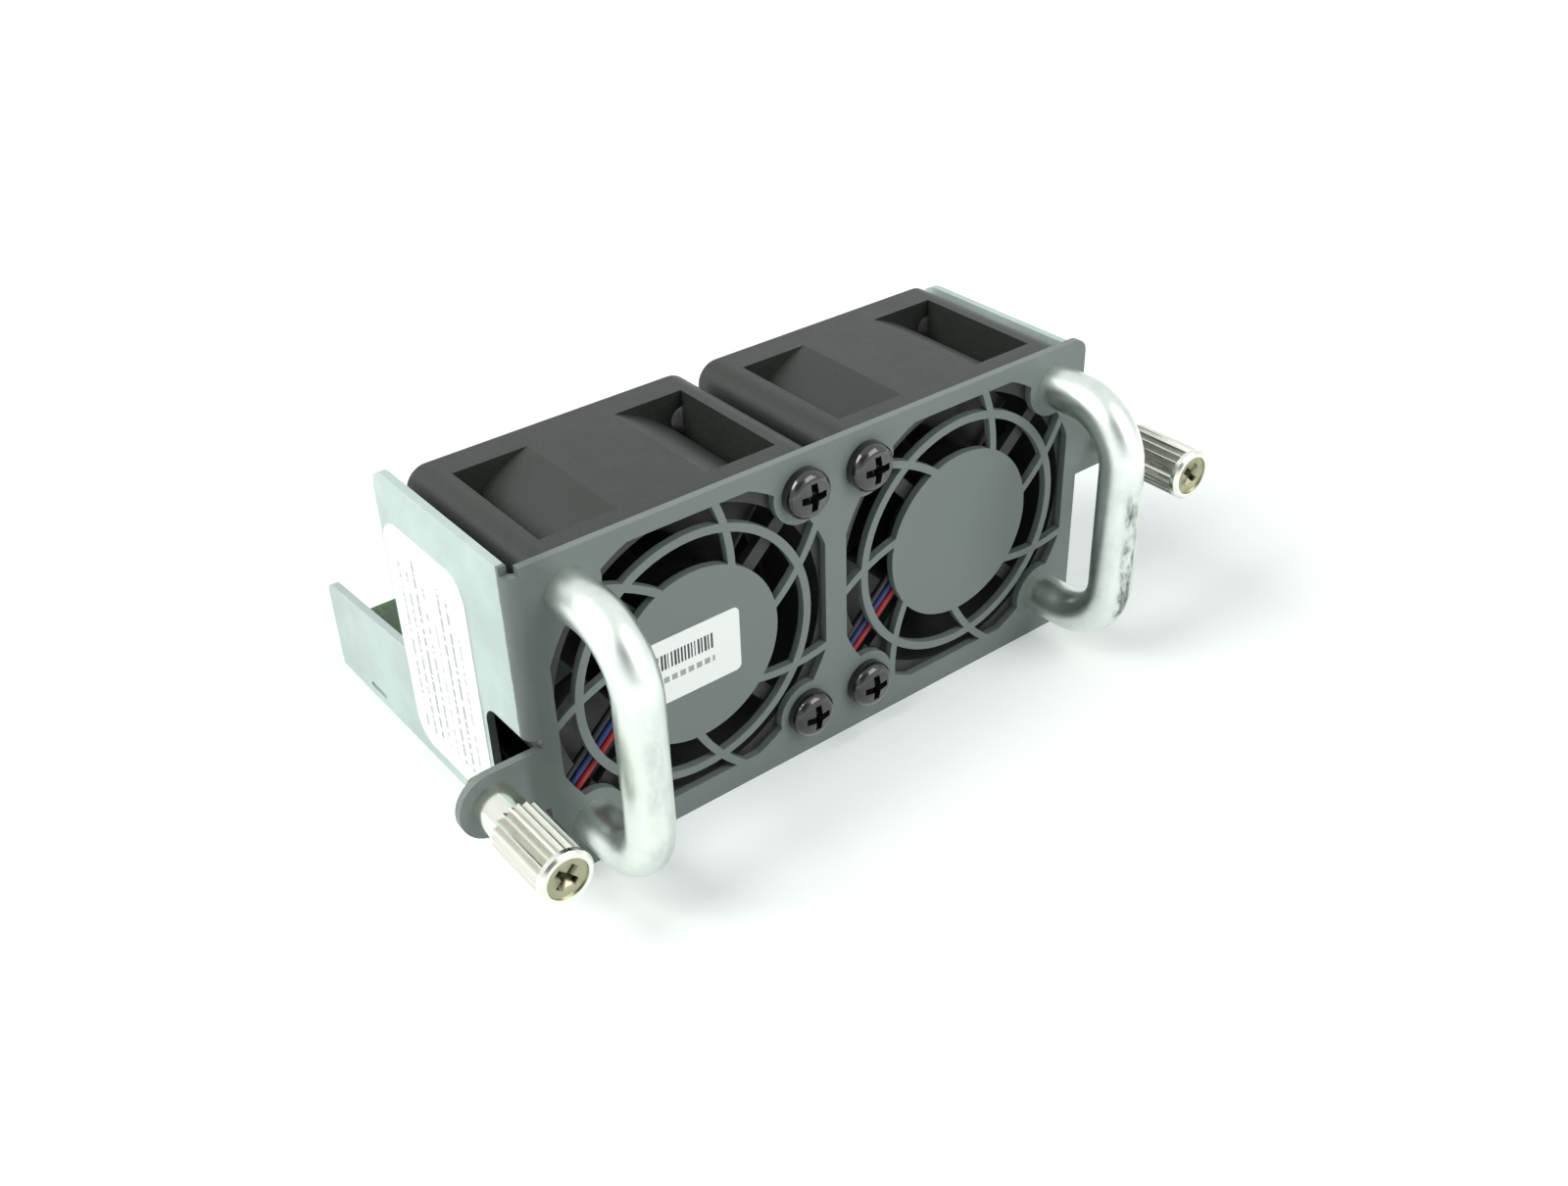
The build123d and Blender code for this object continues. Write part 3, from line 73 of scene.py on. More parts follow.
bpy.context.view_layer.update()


def srgb(red: int, green: int, blue: int) -> Colour:
    """Turn a screen colour into the linear one that a shader takes.

    Args:
        red: Red, 0 to 255.
        green: Green, 0 to 255.
        blue: Blue, 0 to 255.

    Returns:
        Linear red, green, blue and an alpha of 1.
    """

    def linear(value: int) -> float:
        """One channel from screen to linear."""
        share = value / 255
        return share / 12.92 if share <= 0.04045 else ((share + 0.055) / 1.055) ** 2.4

    return (linear(red), linear(green), linear(blue), 1.0)


def scaled(colour: Colour, factor: float, lift: float = 0.0) -> Colour:
    """A colour made darker or lighter.

    Args:
        colour: Linear colour.
        factor: What each channel is multiplied by.
        lift: What is then added to each.

    Returns:
        The new colour, no channel above 1.
    """
    red, green, blue = (min(1.0, channel * factor + lift) for channel in colour[:3])
    return (red, green, blue, 1.0)


class Side(Enum):
    """Which of a pair a piece belongs to."""

    LEFT = "left"
    RIGHT = "right"

    def of(self, name: str) -> str:
        """Name of this side's piece."""
        return f"{self.value}_{name}"


def pairs(*names: str) -> list[str]:
    """The left and the right node of each name."""
    return [side.of(name) for name in names for side in Side]


class Axis(Enum):
    """Output of a Separate XYZ node that a pattern follows."""

    X = 0
    Y = 1
    Z = 2


def operation(how: str, turned: bool = False) -> Callable[["Value", object], "Value"]:
    """Make the Python operator that adds one kind of Math node.

    Args:
        how: The node's operation.
        turned: Whether the other operand stands first.

    Returns:
        The operator, as a method of Value.
    """

    def method(value: "Value", other: object = 0.0) -> "Value":
        """The node's output."""
        a, b = (other, value) if turned else (value, other)
        return value.graph.math(how, a, b)

    return method


@dataclass(frozen=True, eq=False)
class Value:
    """One output of a node in a graph. Sums of values in Python add the Math nodes that work them out."""

    graph: "Graph"
    socket: NodeSocket

    __abs__ = operation("ABSOLUTE")
    __add__ = operation("ADD")
    __radd__ = operation("ADD", turned=True)
    __sub__ = operation("SUBTRACT")
    __rsub__ = operation("SUBTRACT", turned=True)
    __mul__ = operation("MULTIPLY")
    __truediv__ = operation("DIVIDE")
    __pow__ = operation("POWER")
    __lt__ = operation("LESS_THAN")
    __gt__ = operation("GREATER_THAN")

    def __neg__(self) -> "Value":
        """Value with its sign turned."""
        return self * -1.0


@dataclass(eq=False)
class Graph:
    """A node tree while it is being wired, and what the types of most of its nodes start with."""

    tree: NodeTree
    prefix: str = "ShaderNode"

    def link(self, value: object, socket: NodeSocket) -> None:
        """Feed an input.

        Args:
            value: A value to link, or a constant.
            socket: The input.
        """
        if isinstance(value, Value):
            self.tree.links.new(value.socket, socket)
        else:
            socket.default_value = value

    def node(self, kind: str, feeds: dict | None = None, **settings: object) -> Node:
        """Add a node.

        Args:
            kind: Node type, which may leave out the graph's prefix.
            feeds: Input names or numbers, each with a constant or a value to link.
            **settings: Properties of the node.

        Returns:
            The node.
        """
        full = kind.startswith(("ShaderNode", "FunctionNode", "NodeGroup"))
        made = self.tree.nodes.new(kind if full else self.prefix + kind)
        for key, value in settings.items():
            setattr(made, key, value)
        for key, value in (feeds or {}).items():
            self.link(value, made.inputs[key])
        return made

    def get(self, kind: str, feeds: dict | None = None, output: int | str = 0, **settings: object) -> Value:
        """Add a node, as node() does, and take one of its outputs."""
        return Value(self, self.node(kind, feeds, **settings).outputs[output])

    def math(self, how: str, a: object, b: object = 0.0, clamp: bool = False) -> Value:
        """One Math node's value."""
        return self.get("ShaderNodeMath", {0: a, 1: b}, operation=how, use_clamp=clamp)

    def vectors(self, how: str, a: object, b: object = (0, 0, 0), output: int = 0) -> Value:
        """One Vector Math node's vector, or its number as output 1."""
        return self.get("ShaderNodeVectorMath", {0: a, 1: b}, output, operation=how)

    def vector(self, x: object, y: object, z: object) -> Value:
        """Three values as one vector."""
        return self.get("ShaderNodeCombineXYZ", {0: x, 1: y, 2: z})

    def band(self, value: Value, low: float, high: float, start: float = 0.0, end: float = 1.0) -> Value:
        """Smooth change from start to end while a value goes from low to high."""
        feeds = {"Value": value, "From Min": low, "From Max": high, "To Min": start, "To Max": end}
        return self.get("MapRange", feeds, interpolation_type="SMOOTHSTEP")

    def spread(self, value: Value, low: float, high: float) -> Value:
        """A 0 to 1 value stretched over a range."""
        return self.get("MapRange", {"Value": value, "To Min": low, "To Max": high})

    def window(self, value: Value, start: float, end: float) -> Value:
        """1 where a value is between two bounds."""
        return (value > start) * (value < end)

    def rays(self, kind: str) -> Value:
        """1 for light paths of one kind, such as Camera."""
        return self.get("LightPath", output=f"Is {kind} Ray")


class Shader(Graph):
    """A node material while it is being wired, ending in one Principled shader."""

    def __init__(self, name: str, **sockets: object) -> None:
        """Start a material.

        Args:
            name: Name of the material.
            **sockets: Constants for the Principled shader, with _ for each space.
        """
        self.material = bpy.data.materials.new(name)
        self.material.use_nodes = True
        super().__init__(self.material.node_tree)
        self.tree.nodes.clear()
        self.bsdf = self.node("BsdfPrincipled", {key.replace("_", " "): v for key, v in sockets.items()})
        self.link(Value(self, self.bsdf.outputs[0]), self.node("OutputMaterial").inputs["Surface"])
        self.coords = self.get("TexCoord", output="Object")

    def place(self, scale: Point) -> Value:
        """Object coordinates, stretched by a scale along each axis."""
        return self.vectors("MULTIPLY", self.coords, scale)

    def noise(self, scale: float, detail: float = 4, rough: float = 0.55, where: Value | None = None) -> Value:
        """Noise value over the object.

        Args:
            scale: Features per metre, or per unit of where.
            detail: Octaves.
            rough: Share that each octave keeps.
            where: Vector to read in place of the object's coordinates.

        Returns:
            The noise's value.
        """
        feeds = {"Vector": where or self.coords, "Scale": scale, "Detail": detail, "Roughness": rough}
        return self.get("TexNoise", feeds, "Fac")

    def chance(self, number: Value) -> Value:
        """A fixed random value for each whole number."""
        return self.get("TexWhiteNoise", {"W": number}, "Value", noise_dimensions="1D")

    def layers(self, scale: float, distortion: float = 0.0) -> Value:
        """Even layers along Y."""
        feeds = {"Vector": self.place((0, 1, 0)), "Scale": scale, "Distortion": distortion}
        return self.get("TexWave", feeds, "Fac", wave_type="BANDS", bands_direction="Y")

    def mix(self, share: Value, a: object, b: object) -> Value:
        """Blend of two colours."""
        return self.get("Mix", {0: share, 6: a, 7: b}, 2, data_type="RGBA")

    def along(self, axis: Axis) -> Value:
        """The object's coordinate along one axis, in metres."""
        return self.get("SeparateXYZ", {0: self.coords}, axis.value)

    def facing(self, axis: Axis) -> Value:
        """How squarely the surface faces along an axis, either way."""
        normal = self.get("NewGeometry", output="True Normal")
        return abs(self.get("SeparateXYZ", {0: normal}, axis.value))

    def feed(self, name: str, value: object) -> None:
        """Link or set one Principled input."""
        self.link(value, self.bsdf.inputs[name])

    def colour(self, value: object) -> None:
        """Feed the base colour."""
        self.feed("Base Color", value)

    def rough(self, value: object) -> None:
        """Feed the roughness."""
        self.feed("Roughness", value)

    def bump(self, height: Value, depth: float, strength: float = 1.0) -> None:
        """Raise the surface by a pattern, on top of what raises it already.

        Args:
            height: Pattern, 0 to 1.
            depth: Height in metres where the pattern is 1.
            strength: Share of the effect.
        """
        feeds = {"Height": height, "Distance": depth, "Strength": strength}
        normal = self.bsdf.inputs["Normal"]
        if normal.is_linked:
            feeds["Normal"] = Value(self, normal.links[0].from_socket)
        self.feed("Normal", self.get("Bump", feeds))


@dataclass(frozen=True)
class PaintedSheet:
    """Grey powder paint on the plate and ears, bare galvanised metal on the folded walls."""

    paint: Colour = srgb(114, 123, 120)
    zinc: Colour = srgb(191, 206, 202)
    zinc_dark: Colour = srgb(175, 190, 186)
    overspray: float = 1.9 * MM
    soft_edge: float = 0.12 * MM
    ragged: float = 0.5 * MM
    gap_depth: float = 11 * MM
    gap_height: float = 22 * MM
    # where and how strongly shade is painted onto the paint beside the left bend
    painted_shade_start: float = -40.5 * MM
    painted_shade_end: float = -35 * MM
    painted_shade_amount: float = 0.4
    ear_start: float = 2.5 * MM
    ear_clear: float = 4 * MM

    def material(self) -> Material:
        """Build the node material.

        Returns:
            The material.
        """
        s = Shader("plate_paint")
        x, z = s.along(Axis.X), s.along(Axis.Z)
        depth = s.along(Axis.Y) - PLATE_Y
        edge = depth + (s.noise(500, 4) - 0.5) * self.ragged
        bare = s.band(edge, self.overspray - self.soft_edge, self.overspray + self.soft_edge)
        # the cut edge of the gap by the left ear has paint on it too
        near = (depth < self.gap_depth) * (z < self.gap_height)
        bare = bare * s.math("MAXIMUM", s.band(s.facing(Axis.X), 0.3, 0.6), 1.0 - near)
        cloud = s.noise(70, 4)
        shade = s.noise(1, 3, 0.6, s.place((60, 500, 60))) * 0.12 + cloud * 0.88
        metal = s.mix(s.band(shade, 0.35, 0.65), self.zinc_dark, self.zinc)
        paint = s.mix(s.spread(s.noise(160, 5), 0.0, 0.3), self.paint, scaled(self.paint, 0.86))
        # painted shade: the paint is darkened beside the left bend, where the handle's soft shadow falls, though not
        # on the ear
        painted_shade = s.band(x, self.painted_shade_end, self.painted_shade_start)
        painted_shade = painted_shade * s.band(s.noise(90, 3, 0.5, s.place((1, 1, 0.4))), 0.1, 0.6)
        painted_shade = painted_shade * s.band(x, self.painted_shade_start - self.ear_clear, self.painted_shade_start - self.ear_start)
        paint = s.mix(painted_shade * self.painted_shade_amount, paint, BLACK)
        s.colour(s.mix(bare, paint, metal))
        s.feed("Metallic", bare * 0.25)
        s.rough(s.spread(cloud, 0.4, 0.5))
        s.bump(s.noise(2600, 2), 0.012 * MM, 0.4)
        flakes = s.get("TexVoronoi", {"Vector": s.coords, "Scale": 900}, "Distance", feature="F1")
        s.bump(flakes, 0.006 * MM, 0.3)
        return s.material


@dataclass(frozen=True)
class Moulding:
    """Moulded plastic with a fine spark-eroded grain and faint flow marks."""

    name: str
    base: Colour
    rough: float = 0.5
    grain: float = 0.02 * MM
    streak: float = 0.3
    speckle: float = 0.0
    speck_light: float = 2.6
    shine: float = 0.5

    def material(self) -> Material:
        """Build the node material.

        Returns:
            The material.
        """
        s = Shader(self.name, Specular_IOR_Level=self.shine)
        flow = s.noise(1, 4, 0.6, s.place((140, 40, 220)))
        tone = s.mix(flow, self.base, scaled(self.base, 1 + self.streak))
        speckle = s.band(s.noise(5200, 2), 0.45, 0.75) * self.speckle
        s.colour(s.mix(speckle, tone, scaled(self.base, self.speck_light)))
        s.rough(s.spread(s.noise(260, 5), self.rough - 0.08, self.rough + 0.1))
        s.bump(s.noise(3800, 3), self.grain, 0.7)
        return s.material


@dataclass(frozen=True)
class Metal:
    """Plated or plain metal with a machined lay along one axis and light staining."""

    name: str
    base: Colour
    rough: float
    lay: Point = (500, 9000, 500)
    stain: Colour | None = None
    metallic: float = 1.0
    coat: float = 0.0
    # colour of the painted shade in the screw head's recess, and the depths where it starts, is full and ends
    recess_shade: Colour | None = None
    recess_shade_depths: Point = (0.1 * MM, 0.7 * MM, 2.5 * MM)

    def material(self) -> Material:
        """Build the node material.

        Returns:
            The material.
        """
        s = Shader(self.name, Metallic=self.metallic, Coat_Weight=self.coat, Coat_Roughness=0.07)
        turned = s.noise(1, 3, 0.6, s.place(self.lay))
        tone = s.mix(turned, self.base, scaled(self.base, 0.86))
        if self.stain:
            tone = s.mix(s.band(s.noise(700, 5), 0.52, 0.75), tone, self.stain)
        # painted shade: the recess of the screw's head is darkened by its depth behind the front face
        if self.recess_shade:
            depth = s.along(Axis.Y)
            start, full, end = (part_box("left_thumb_screw")[0].y + way for way in self.recess_shade_depths)
            tone = s.mix(s.band(depth, start, full) * (depth < end), tone, self.recess_shade)
        s.colour(tone)
        s.rough(s.spread(turned * 0.5 + s.noise(300) * 0.5, self.rough - 0.06, self.rough + 0.08))
        s.bump(turned, 0.006 * MM, 0.35)
        return s.material


@dataclass(frozen=True)
class HandleFinish:
    """Satin anodised rod, with scuffed patches down the side that rubs."""

    side: Side
    base: Colour = srgb(231, 238, 232)
    scuff: Colour = srgb(106, 112, 108)
    rough: float = 0.33
    other_side: float = 0.2
    off_middle: float = 0.3 * MM
    dent: float = 0.03 * MM
    front_edge: Span = (1.5 * MM, 0.6 * MM)
    side_edge: Span = (1.5 * MM, 0.7 * MM)
    lower_end: Span = (3 * MM, 7 * MM)
    upper_end: Span = (10 * MM, 16 * MM)

    def worn(self, s: Shader) -> Value:
        """Where the front of the bar is scuffed.

        Args:
            s: Shader that the nodes go into.

        Returns:
            0 to 1.
        """
        low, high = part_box(self.side.of("handle"))
        front = s.band(s.along(Axis.Y) - low.y, *self.front_edge)
        aside = abs(s.along(Axis.X) - ((low.x + high.x) / 2 - self.off_middle))
        strip = front * s.band(aside, *self.side_edge)
        z = s.along(Axis.Z)
        middle = s.band(z - low.z, *self.lower_end) * s.band(high.z - z, *self.upper_end)
        patches = s.band(s.noise(330, 5, 0.6, s.place((1, 1, 0.5))), 0.36, 0.6)
        specks = s.band(s.noise(1300, 6, 0.65, s.place((1, 1, 0.4))), 0.34, 0.62)
        spots = patches * s.spread(specks, 0.3, 1.0)
        amount = 1.0 if self.side is Side.RIGHT else self.other_side
        return s.math("MULTIPLY", strip * (middle * spots), amount, clamp=True)

    def material(self) -> Material:
        """Build the node material.

        Returns:
            The material.
        """
        s = Shader(self.side.of("handle_aluminium"), Metallic=1.0)
        worn = self.worn(s)
        drawn = s.noise(1, 4, 0.6, s.place((1800, 1800, 160)))
        cloudy = (drawn + s.band(s.noise(230, 3), 0.4, 0.75)) * 0.5
        tone = s.mix(cloudy, self.base, scaled(self.base, 0.74))
        s.colour(s.mix(worn, tone, self.scuff))
        s.rough(s.spread(s.noise(420, 5), self.rough - 0.05, self.rough + 0.07) + worn * 0.25)
        s.bump(drawn, 0.008 * MM, 0.4)
        s.bump(worn, -self.dent, 0.8)
        return s.material


@dataclass(frozen=True)
class KnobFinish:
    """Bright nickel, with painted shade and a rougher surface in the grooves of the knurls."""

    side: Side
    base: Colour = srgb(236, 237, 228)
    groove_shade: Colour = srgb(158, 157, 146)
    groove_top: float = 0.1 * MM
    groove_depth: float = 0.28 * MM
    knurl_depths: Span = (0.6 * MM, 0.75 * MM)
    knurl_start: Span = (0.5 * MM, 0.9 * MM)
    rough: float = 0.17

    def material(self) -> Material:
        """Build the node material.

        Returns:
            The material.
        """
        s = Shader(self.side.of("nickel"), Metallic=1.0)
        low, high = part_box(self.side.of("knob"))
        outer = (high.x - low.x) / 2
        depth = s.along(Axis.Y)
        aside = s.vectors("SUBTRACT", s.coords, tuple((low + high) / 2))
        radius = s.vectors("LENGTH", s.vectors("MULTIPLY", aside, (1, 0, 1)), output=1)
        deep = s.band(radius, outer - self.groove_top, outer - self.groove_depth)
        shallow, full = self.knurl_depths
        start, end = self.knurl_start
        knurled = s.band(radius, outer - full, outer - shallow) * s.band(depth, low.y + start, low.y + end)
        knurled = knurled * (depth < high.y)
        # painted shade: the grooves of the knurls are darkened, and made rougher
        shaded_grooves = deep * knurled * s.spread(s.noise(600, 4), 0.35, 0.85)
        lay = s.noise(1, 3, 0.6, s.place((1500, 260, 1500)))
        bright = s.mix(s.spread(lay, 0.0, 0.4), self.base, scaled(self.base, 0.75))
        s.colour(s.mix(shaded_grooves, bright, self.groove_shade))
        s.rough(s.spread(lay, self.rough - 0.04, self.rough + 0.06) + shaded_grooves * 0.35)
        s.bump(lay, 0.006 * MM, 0.35)
        return s.material


@dataclass(frozen=True)
class BoardFinish:
    """Green solder mask over copper runs, with bare glass cloth on the cut edges."""

    mask: Colour = srgb(38, 74, 40)
    trace: Colour = srgb(54, 98, 54)
    cloth: Colour = srgb(176, 170, 120)
    run_width: float = 0.3 * MM
    run_length: float = 9.3 * MM
    run_spacing: float = 2.1 * MM

    def material(self) -> Material:
        """Build the node material.

        Returns:
            The material.
        """
        s = Shader("board_green", Coat_Weight=0.2, Coat_Roughness=0.2)
        feeds = {"Vector": s.place((1, 1, 0)), "Scale": 1.0, "Color1": BLACK, "Color2": BLACK, "Mortar": WHITE}
        feeds |= {"Mortar Size": self.run_width, "Mortar Smooth": 0.2}
        feeds |= {"Brick Width": self.run_length, "Row Height": self.run_spacing}
        runs = s.get("TexBrick", feeds, "Color") * s.band(s.noise(95, 1), 0.42, 0.5)
        face = s.band(s.facing(Axis.Z), 0.4, 0.6)
        s.colour(s.mix(face, self.cloth, s.mix(runs, self.mask, self.trace)))
        s.rough(s.spread(s.noise(500), 0.3, 0.42))
        s.bump(runs, 0.035 * MM, 0.8)
        return s.material


@dataclass(frozen=True)
class LabelFilm:
    """White film label. This one has faint broken rules in columns, and no lettering."""

    name: str
    film: Colour = srgb(247, 249, 247)
    ink: Colour = srgb(48, 50, 50)
    columns: int = 10
    dashes: int = 46

    def print_of(self, s: Shader) -> Value:
        """Where the label is printed.

        Args:
            s: Shader that the nodes go into.

        Returns:
            0 to 1.
        """
        low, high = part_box("side_label")
        across = (s.along(Axis.Y) - low.y) / (high.y - low.y)
        along = (s.along(Axis.Z) - low.z) / (high.z - low.z)
        columns = across * self.columns
        number = s.math("FLOOR", columns)
        chance = s.chance(number)
        rules = s.band(abs(s.math("FRACT", columns) - 0.5), 0.2, 0.12)
        inside = s.band(abs(across - 0.5), 0.42, 0.41) * s.band(along, 0.08, 0.09)
        inside = inside * (along < s.spread(chance, 0.7, 0.92))
        dashes = s.band(s.noise(1, 2, 0.6, s.vector(number * 3.7, along * self.dashes, 0.0)), 0.42, 0.5)
        return rules * inside * (dashes * s.spread(chance, 0.35, 0.62))

    def material(self) -> Material:
        """Build the node material.

        Returns:
            The material.
        """
        s = Shader(self.name, Coat_Weight=0.15, Coat_Roughness=0.4)
        s.colour(s.mix(self.print_of(s), self.film, self.ink))
        s.rough(s.spread(s.noise(900), 0.45, 0.6))
        s.bump(s.noise(1400, 2), 0.01 * MM, 0.4)
        return s.material


@dataclass(frozen=True)
class BarLabel(LabelFilm):
    """Small label with a block of plain bars over a row of plain squares."""

    bar_pitch: float = 0.47 * MM
    square_pitch: float = 1.16 * MM
    square_share: float = 0.68
    square_ink: float = 0.62
    left: float = -26.4 * MM
    right: float = -17.95 * MM
    bar_rows: Span = (0.35 * MM, 2.45 * MM)
    square_rows: Span = (-1.55 * MM, -0.75 * MM)

    def print_of(self, s: Shader) -> Value:
        """Where the label is printed.

        Args:
            s: Shader that the nodes go into.

        Returns:
            0 to 1.
        """
        low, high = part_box("hub_label")
        x = s.along(Axis.X)
        up = s.along(Axis.Z) - (low.z + high.z) / 2
        across = s.window(x, self.left, self.right)
        cells = (x - self.left) / self.bar_pitch
        bars = s.math("FRACT", cells) < s.spread(s.chance(s.math("FLOOR", cells)), 0.3, 0.72)
        step = s.math("FRACT", (x - self.left) / self.square_pitch)
        squares = (step < self.square_share) * s.window(up, *self.square_rows)
        block = across * s.window(up, *self.bar_rows)
        return s.math("MAXIMUM", bars * block, squares * across * self.square_ink)


@dataclass(frozen=True)
class Insulation:
    """Soft PVC insulation of a thin lead."""

    colour_name: str
    base: Colour

    def material(self) -> Material:
        """Build the node material.

        Returns:
            The material.
        """
        s = Shader(f"lead_{self.colour_name}", Specular_IOR_Level=0.5)
        s.colour(s.mix(s.noise(350, 4), self.base, scaled(self.base, 1.25, 0.004)))
        s.rough(s.spread(s.noise(900, 3), 0.32, 0.46))
        s.bump(s.noise(2400, 2), 0.01 * MM, 0.5)
        return s.material


@dataclass(frozen=True)
class WoundWire:
    """Enamelled copper wire, layer on layer, in place of the coils' smooth outline."""

    base: Colour = srgb(176, 92, 52)

    def material(self) -> Material:
        """Build the node material.

        Returns:
            The material.
        """
        s = Shader("copper", Metallic=0.8, Coat_Weight=0.6, Coat_Roughness=0.2)
        turns = s.layers(1500, 0.4)
        s.colour(s.mix(turns, scaled(self.base, 0.4), self.base))
        s.rough(s.spread(turns, 0.4, 0.28))
        s.bump(turns, 0.06 * MM, 0.9)
        return s.material


@dataclass(frozen=True)
class Laminations:
    """Stack of thin punched steel sheets."""

    base: Colour = srgb(150, 152, 150)

    def material(self) -> Material:
        """Build the node material.

        Returns:
            The material.
        """
        s = Shader("lamination_steel", Metallic=1.0)
        sheets = s.layers(630)
        s.colour(s.mix(sheets, scaled(self.base, 0.5), self.base))
        s.rough(s.spread(s.noise(500), 0.4, 0.55))
        s.bump(sheets, 0.03 * MM, 0.7)
        return s.material


def dress(material: Material, nodes: Iterable[str]) -> None:
    """Give a material to CAD nodes.

    Args:
        material: The finished material.
        nodes: Names of the nodes that take it.
    """
    for name in nodes:
        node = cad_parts[name]
        node.data.materials.clear()
        node.data.materials.append(material)
        LOG.info("%s takes %s", name, material.name)


class DetailTree(Graph):
    """A Geometry Nodes tree that makes one detail and repeats it on the points of a mesh."""

    def __init__(self, name: str, sizes: dict[str, float]) -> None:
        """Start a tree.

        Args:
            name: Name of the tree.
            sizes: Named inputs with their values.
        """
        super().__init__(bpy.data.node_groups.new(name, "GeometryNodeTree"), "GeometryNode")
        self.sizes = sizes
        for flow in ("INPUT", "OUTPUT"):
            self.tree.interface.new_socket("Geometry", in_out=flow, socket_type="NodeSocketGeometry")
        for key in sizes:
            self.tree.interface.new_socket(key, in_out="INPUT", socket_type="NodeSocketFloat")
        self.start = self.node("NodeGroupInput")

    def __getitem__(self, name: str) -> Value:
        """One of the tree's named inputs."""
        return Value(self, self.start.outputs[name])

    def position(self) -> list[Value]:
        """The x, y and z of each vertex."""
        parts = self.node("ShaderNodeSeparateXYZ", {0: self.get("InputPosition")})
        return [Value(self, output) for output in parts.outputs]

    def rod(self, around: int, along: int) -> Value:
        """A closed unit cylinder that a rule then bends into shape."""
        feeds = {"Vertices": around, "Side Segments": along, "Radius": 1.0, "Depth": 1.0}
        return self.get("MeshCylinder", feeds, "Mesh", fill_type="NGON")

    def shape(self, detail: Value, position: Value) -> Value:
        """Move each vertex, or each point of a curve, where the rule says."""
        return self.get("SetPosition", {"Geometry": detail, "Position": position})

    def oblong(self, width: object, height: object) -> Value:
        """A rectangular outline."""
        return self.get("CurvePrimitiveQuadrilateral", {"Width": width, "Height": height})

    def sweep(self, path: Value, outline: Value) -> Value:
        """Draw an outline along a path, with its ends closed."""
        return self.get("CurveToMesh", {"Curve": path, "Profile Curve": outline, "Fill Caps": True})

    def join(self, parts: Iterable[Value]) -> Value:
        """Several details as one.

        Args:
            parts: The details.

        Returns:
            Their geometry together.
        """
        joined = self.node("JoinGeometry")
        for part in parts:
            self.link(part, joined.inputs[0])
        return Value(self, joined.outputs[0])

    def turned(self, detail: Value, count: int) -> Value:
        """Repeat a detail round the Y axis.

        Args:
            detail: What to repeat.
            count: How many times.

        Returns:
            Its instances.
        """
        euler = self.vector(0.0, self.get("InputIndex") * (math.tau / count), 0.0)
        turn = self.get("FunctionNodeEulerToRotation", {0: euler})
        ring = self.get("Points", {"Count": count})
        return self.get("InstanceOnPoints", {"Points": ring, "Instance": detail, "Rotation": turn})

    def make(self, detail: Value, points: list[Vector], material: Material) -> Mesh:
        """End the tree and run it on some points.

        Args:
            detail: The finished detail, at the tree's origin.
            points: Where the detail goes, in metres.
            material: Its finish.

        Returns:
            A plain mesh.
        """
        repeated = self.get("InstanceOnPoints", {"Points": self["Geometry"], "Instance": detail})
        real = self.get("RealizeInstances", {0: repeated})
        dressed = self.get("SetMaterial", {"Geometry": real, "Material": material})
        self.link(dressed, self.node("NodeGroupOutput").inputs[0])
        spots = bpy.data.meshes.new(self.tree.name)
        spots.from_pydata(points, [], [])
        maker = enter(self.tree.name, spots)
        modifier = maker.modifiers.new("detail", "NODES")
        modifier.node_group = self.tree
        for item in self.tree.interface.items_tree:
            if item.name in self.sizes:
                modifier[item.identifier] = self.sizes[item.name]
        mesh = bpy.data.meshes.new_from_object(maker.evaluated_get(bpy.context.evaluated_depsgraph_get()))
        bpy.data.objects.remove(maker)
        return mesh


def enter(name: str, data: bpy.types.ID) -> Object:
    """Put a new object into the scene.

    Args:
        name: Name of the object.
        data: Its mesh, lamp or camera.

    Returns:
        The object.
    """
    made = bpy.data.objects.new(name, data)
    bpy.context.scene.collection.objects.link(made)
    return made


def plain_mesh(shell: bmesh.types.BMesh, name: str) -> Mesh:
    """End a bmesh as a mesh.

    Args:
        shell: The bmesh, which is freed.
        name: Name of the mesh.

    Returns:
        The mesh.
    """
    mesh = bpy.data.meshes.new(name)
    shell.to_mesh(mesh)
    shell.free()
    return mesh


def show(name: str, meshes: list[Mesh], material: Material, body: str) -> Object:
    """Join meshes into one shown piece.

    Args:
        name: Name of the piece.
        meshes: Its closed shells, in the row frame.
        material: Its finish.
        body: CAD body that it rides on.

    Returns:
        The piece.
    """
    shell = bmesh.new()
    for mesh in meshes:
        shell.from_mesh(mesh)
    bmesh.ops.recalc_face_normals(shell, faces=shell.faces)
    for face in shell.faces:
        face.smooth = True
        face.material_index = 0
    whole = plain_mesh(shell, name)
    whole.set_sharp_from_angle(angle=SHARP)
    whole.materials.append(material)
    made = enter(name, whole)
    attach(made, body)
    LOG.info("%s built on %s", name, body)
    return made


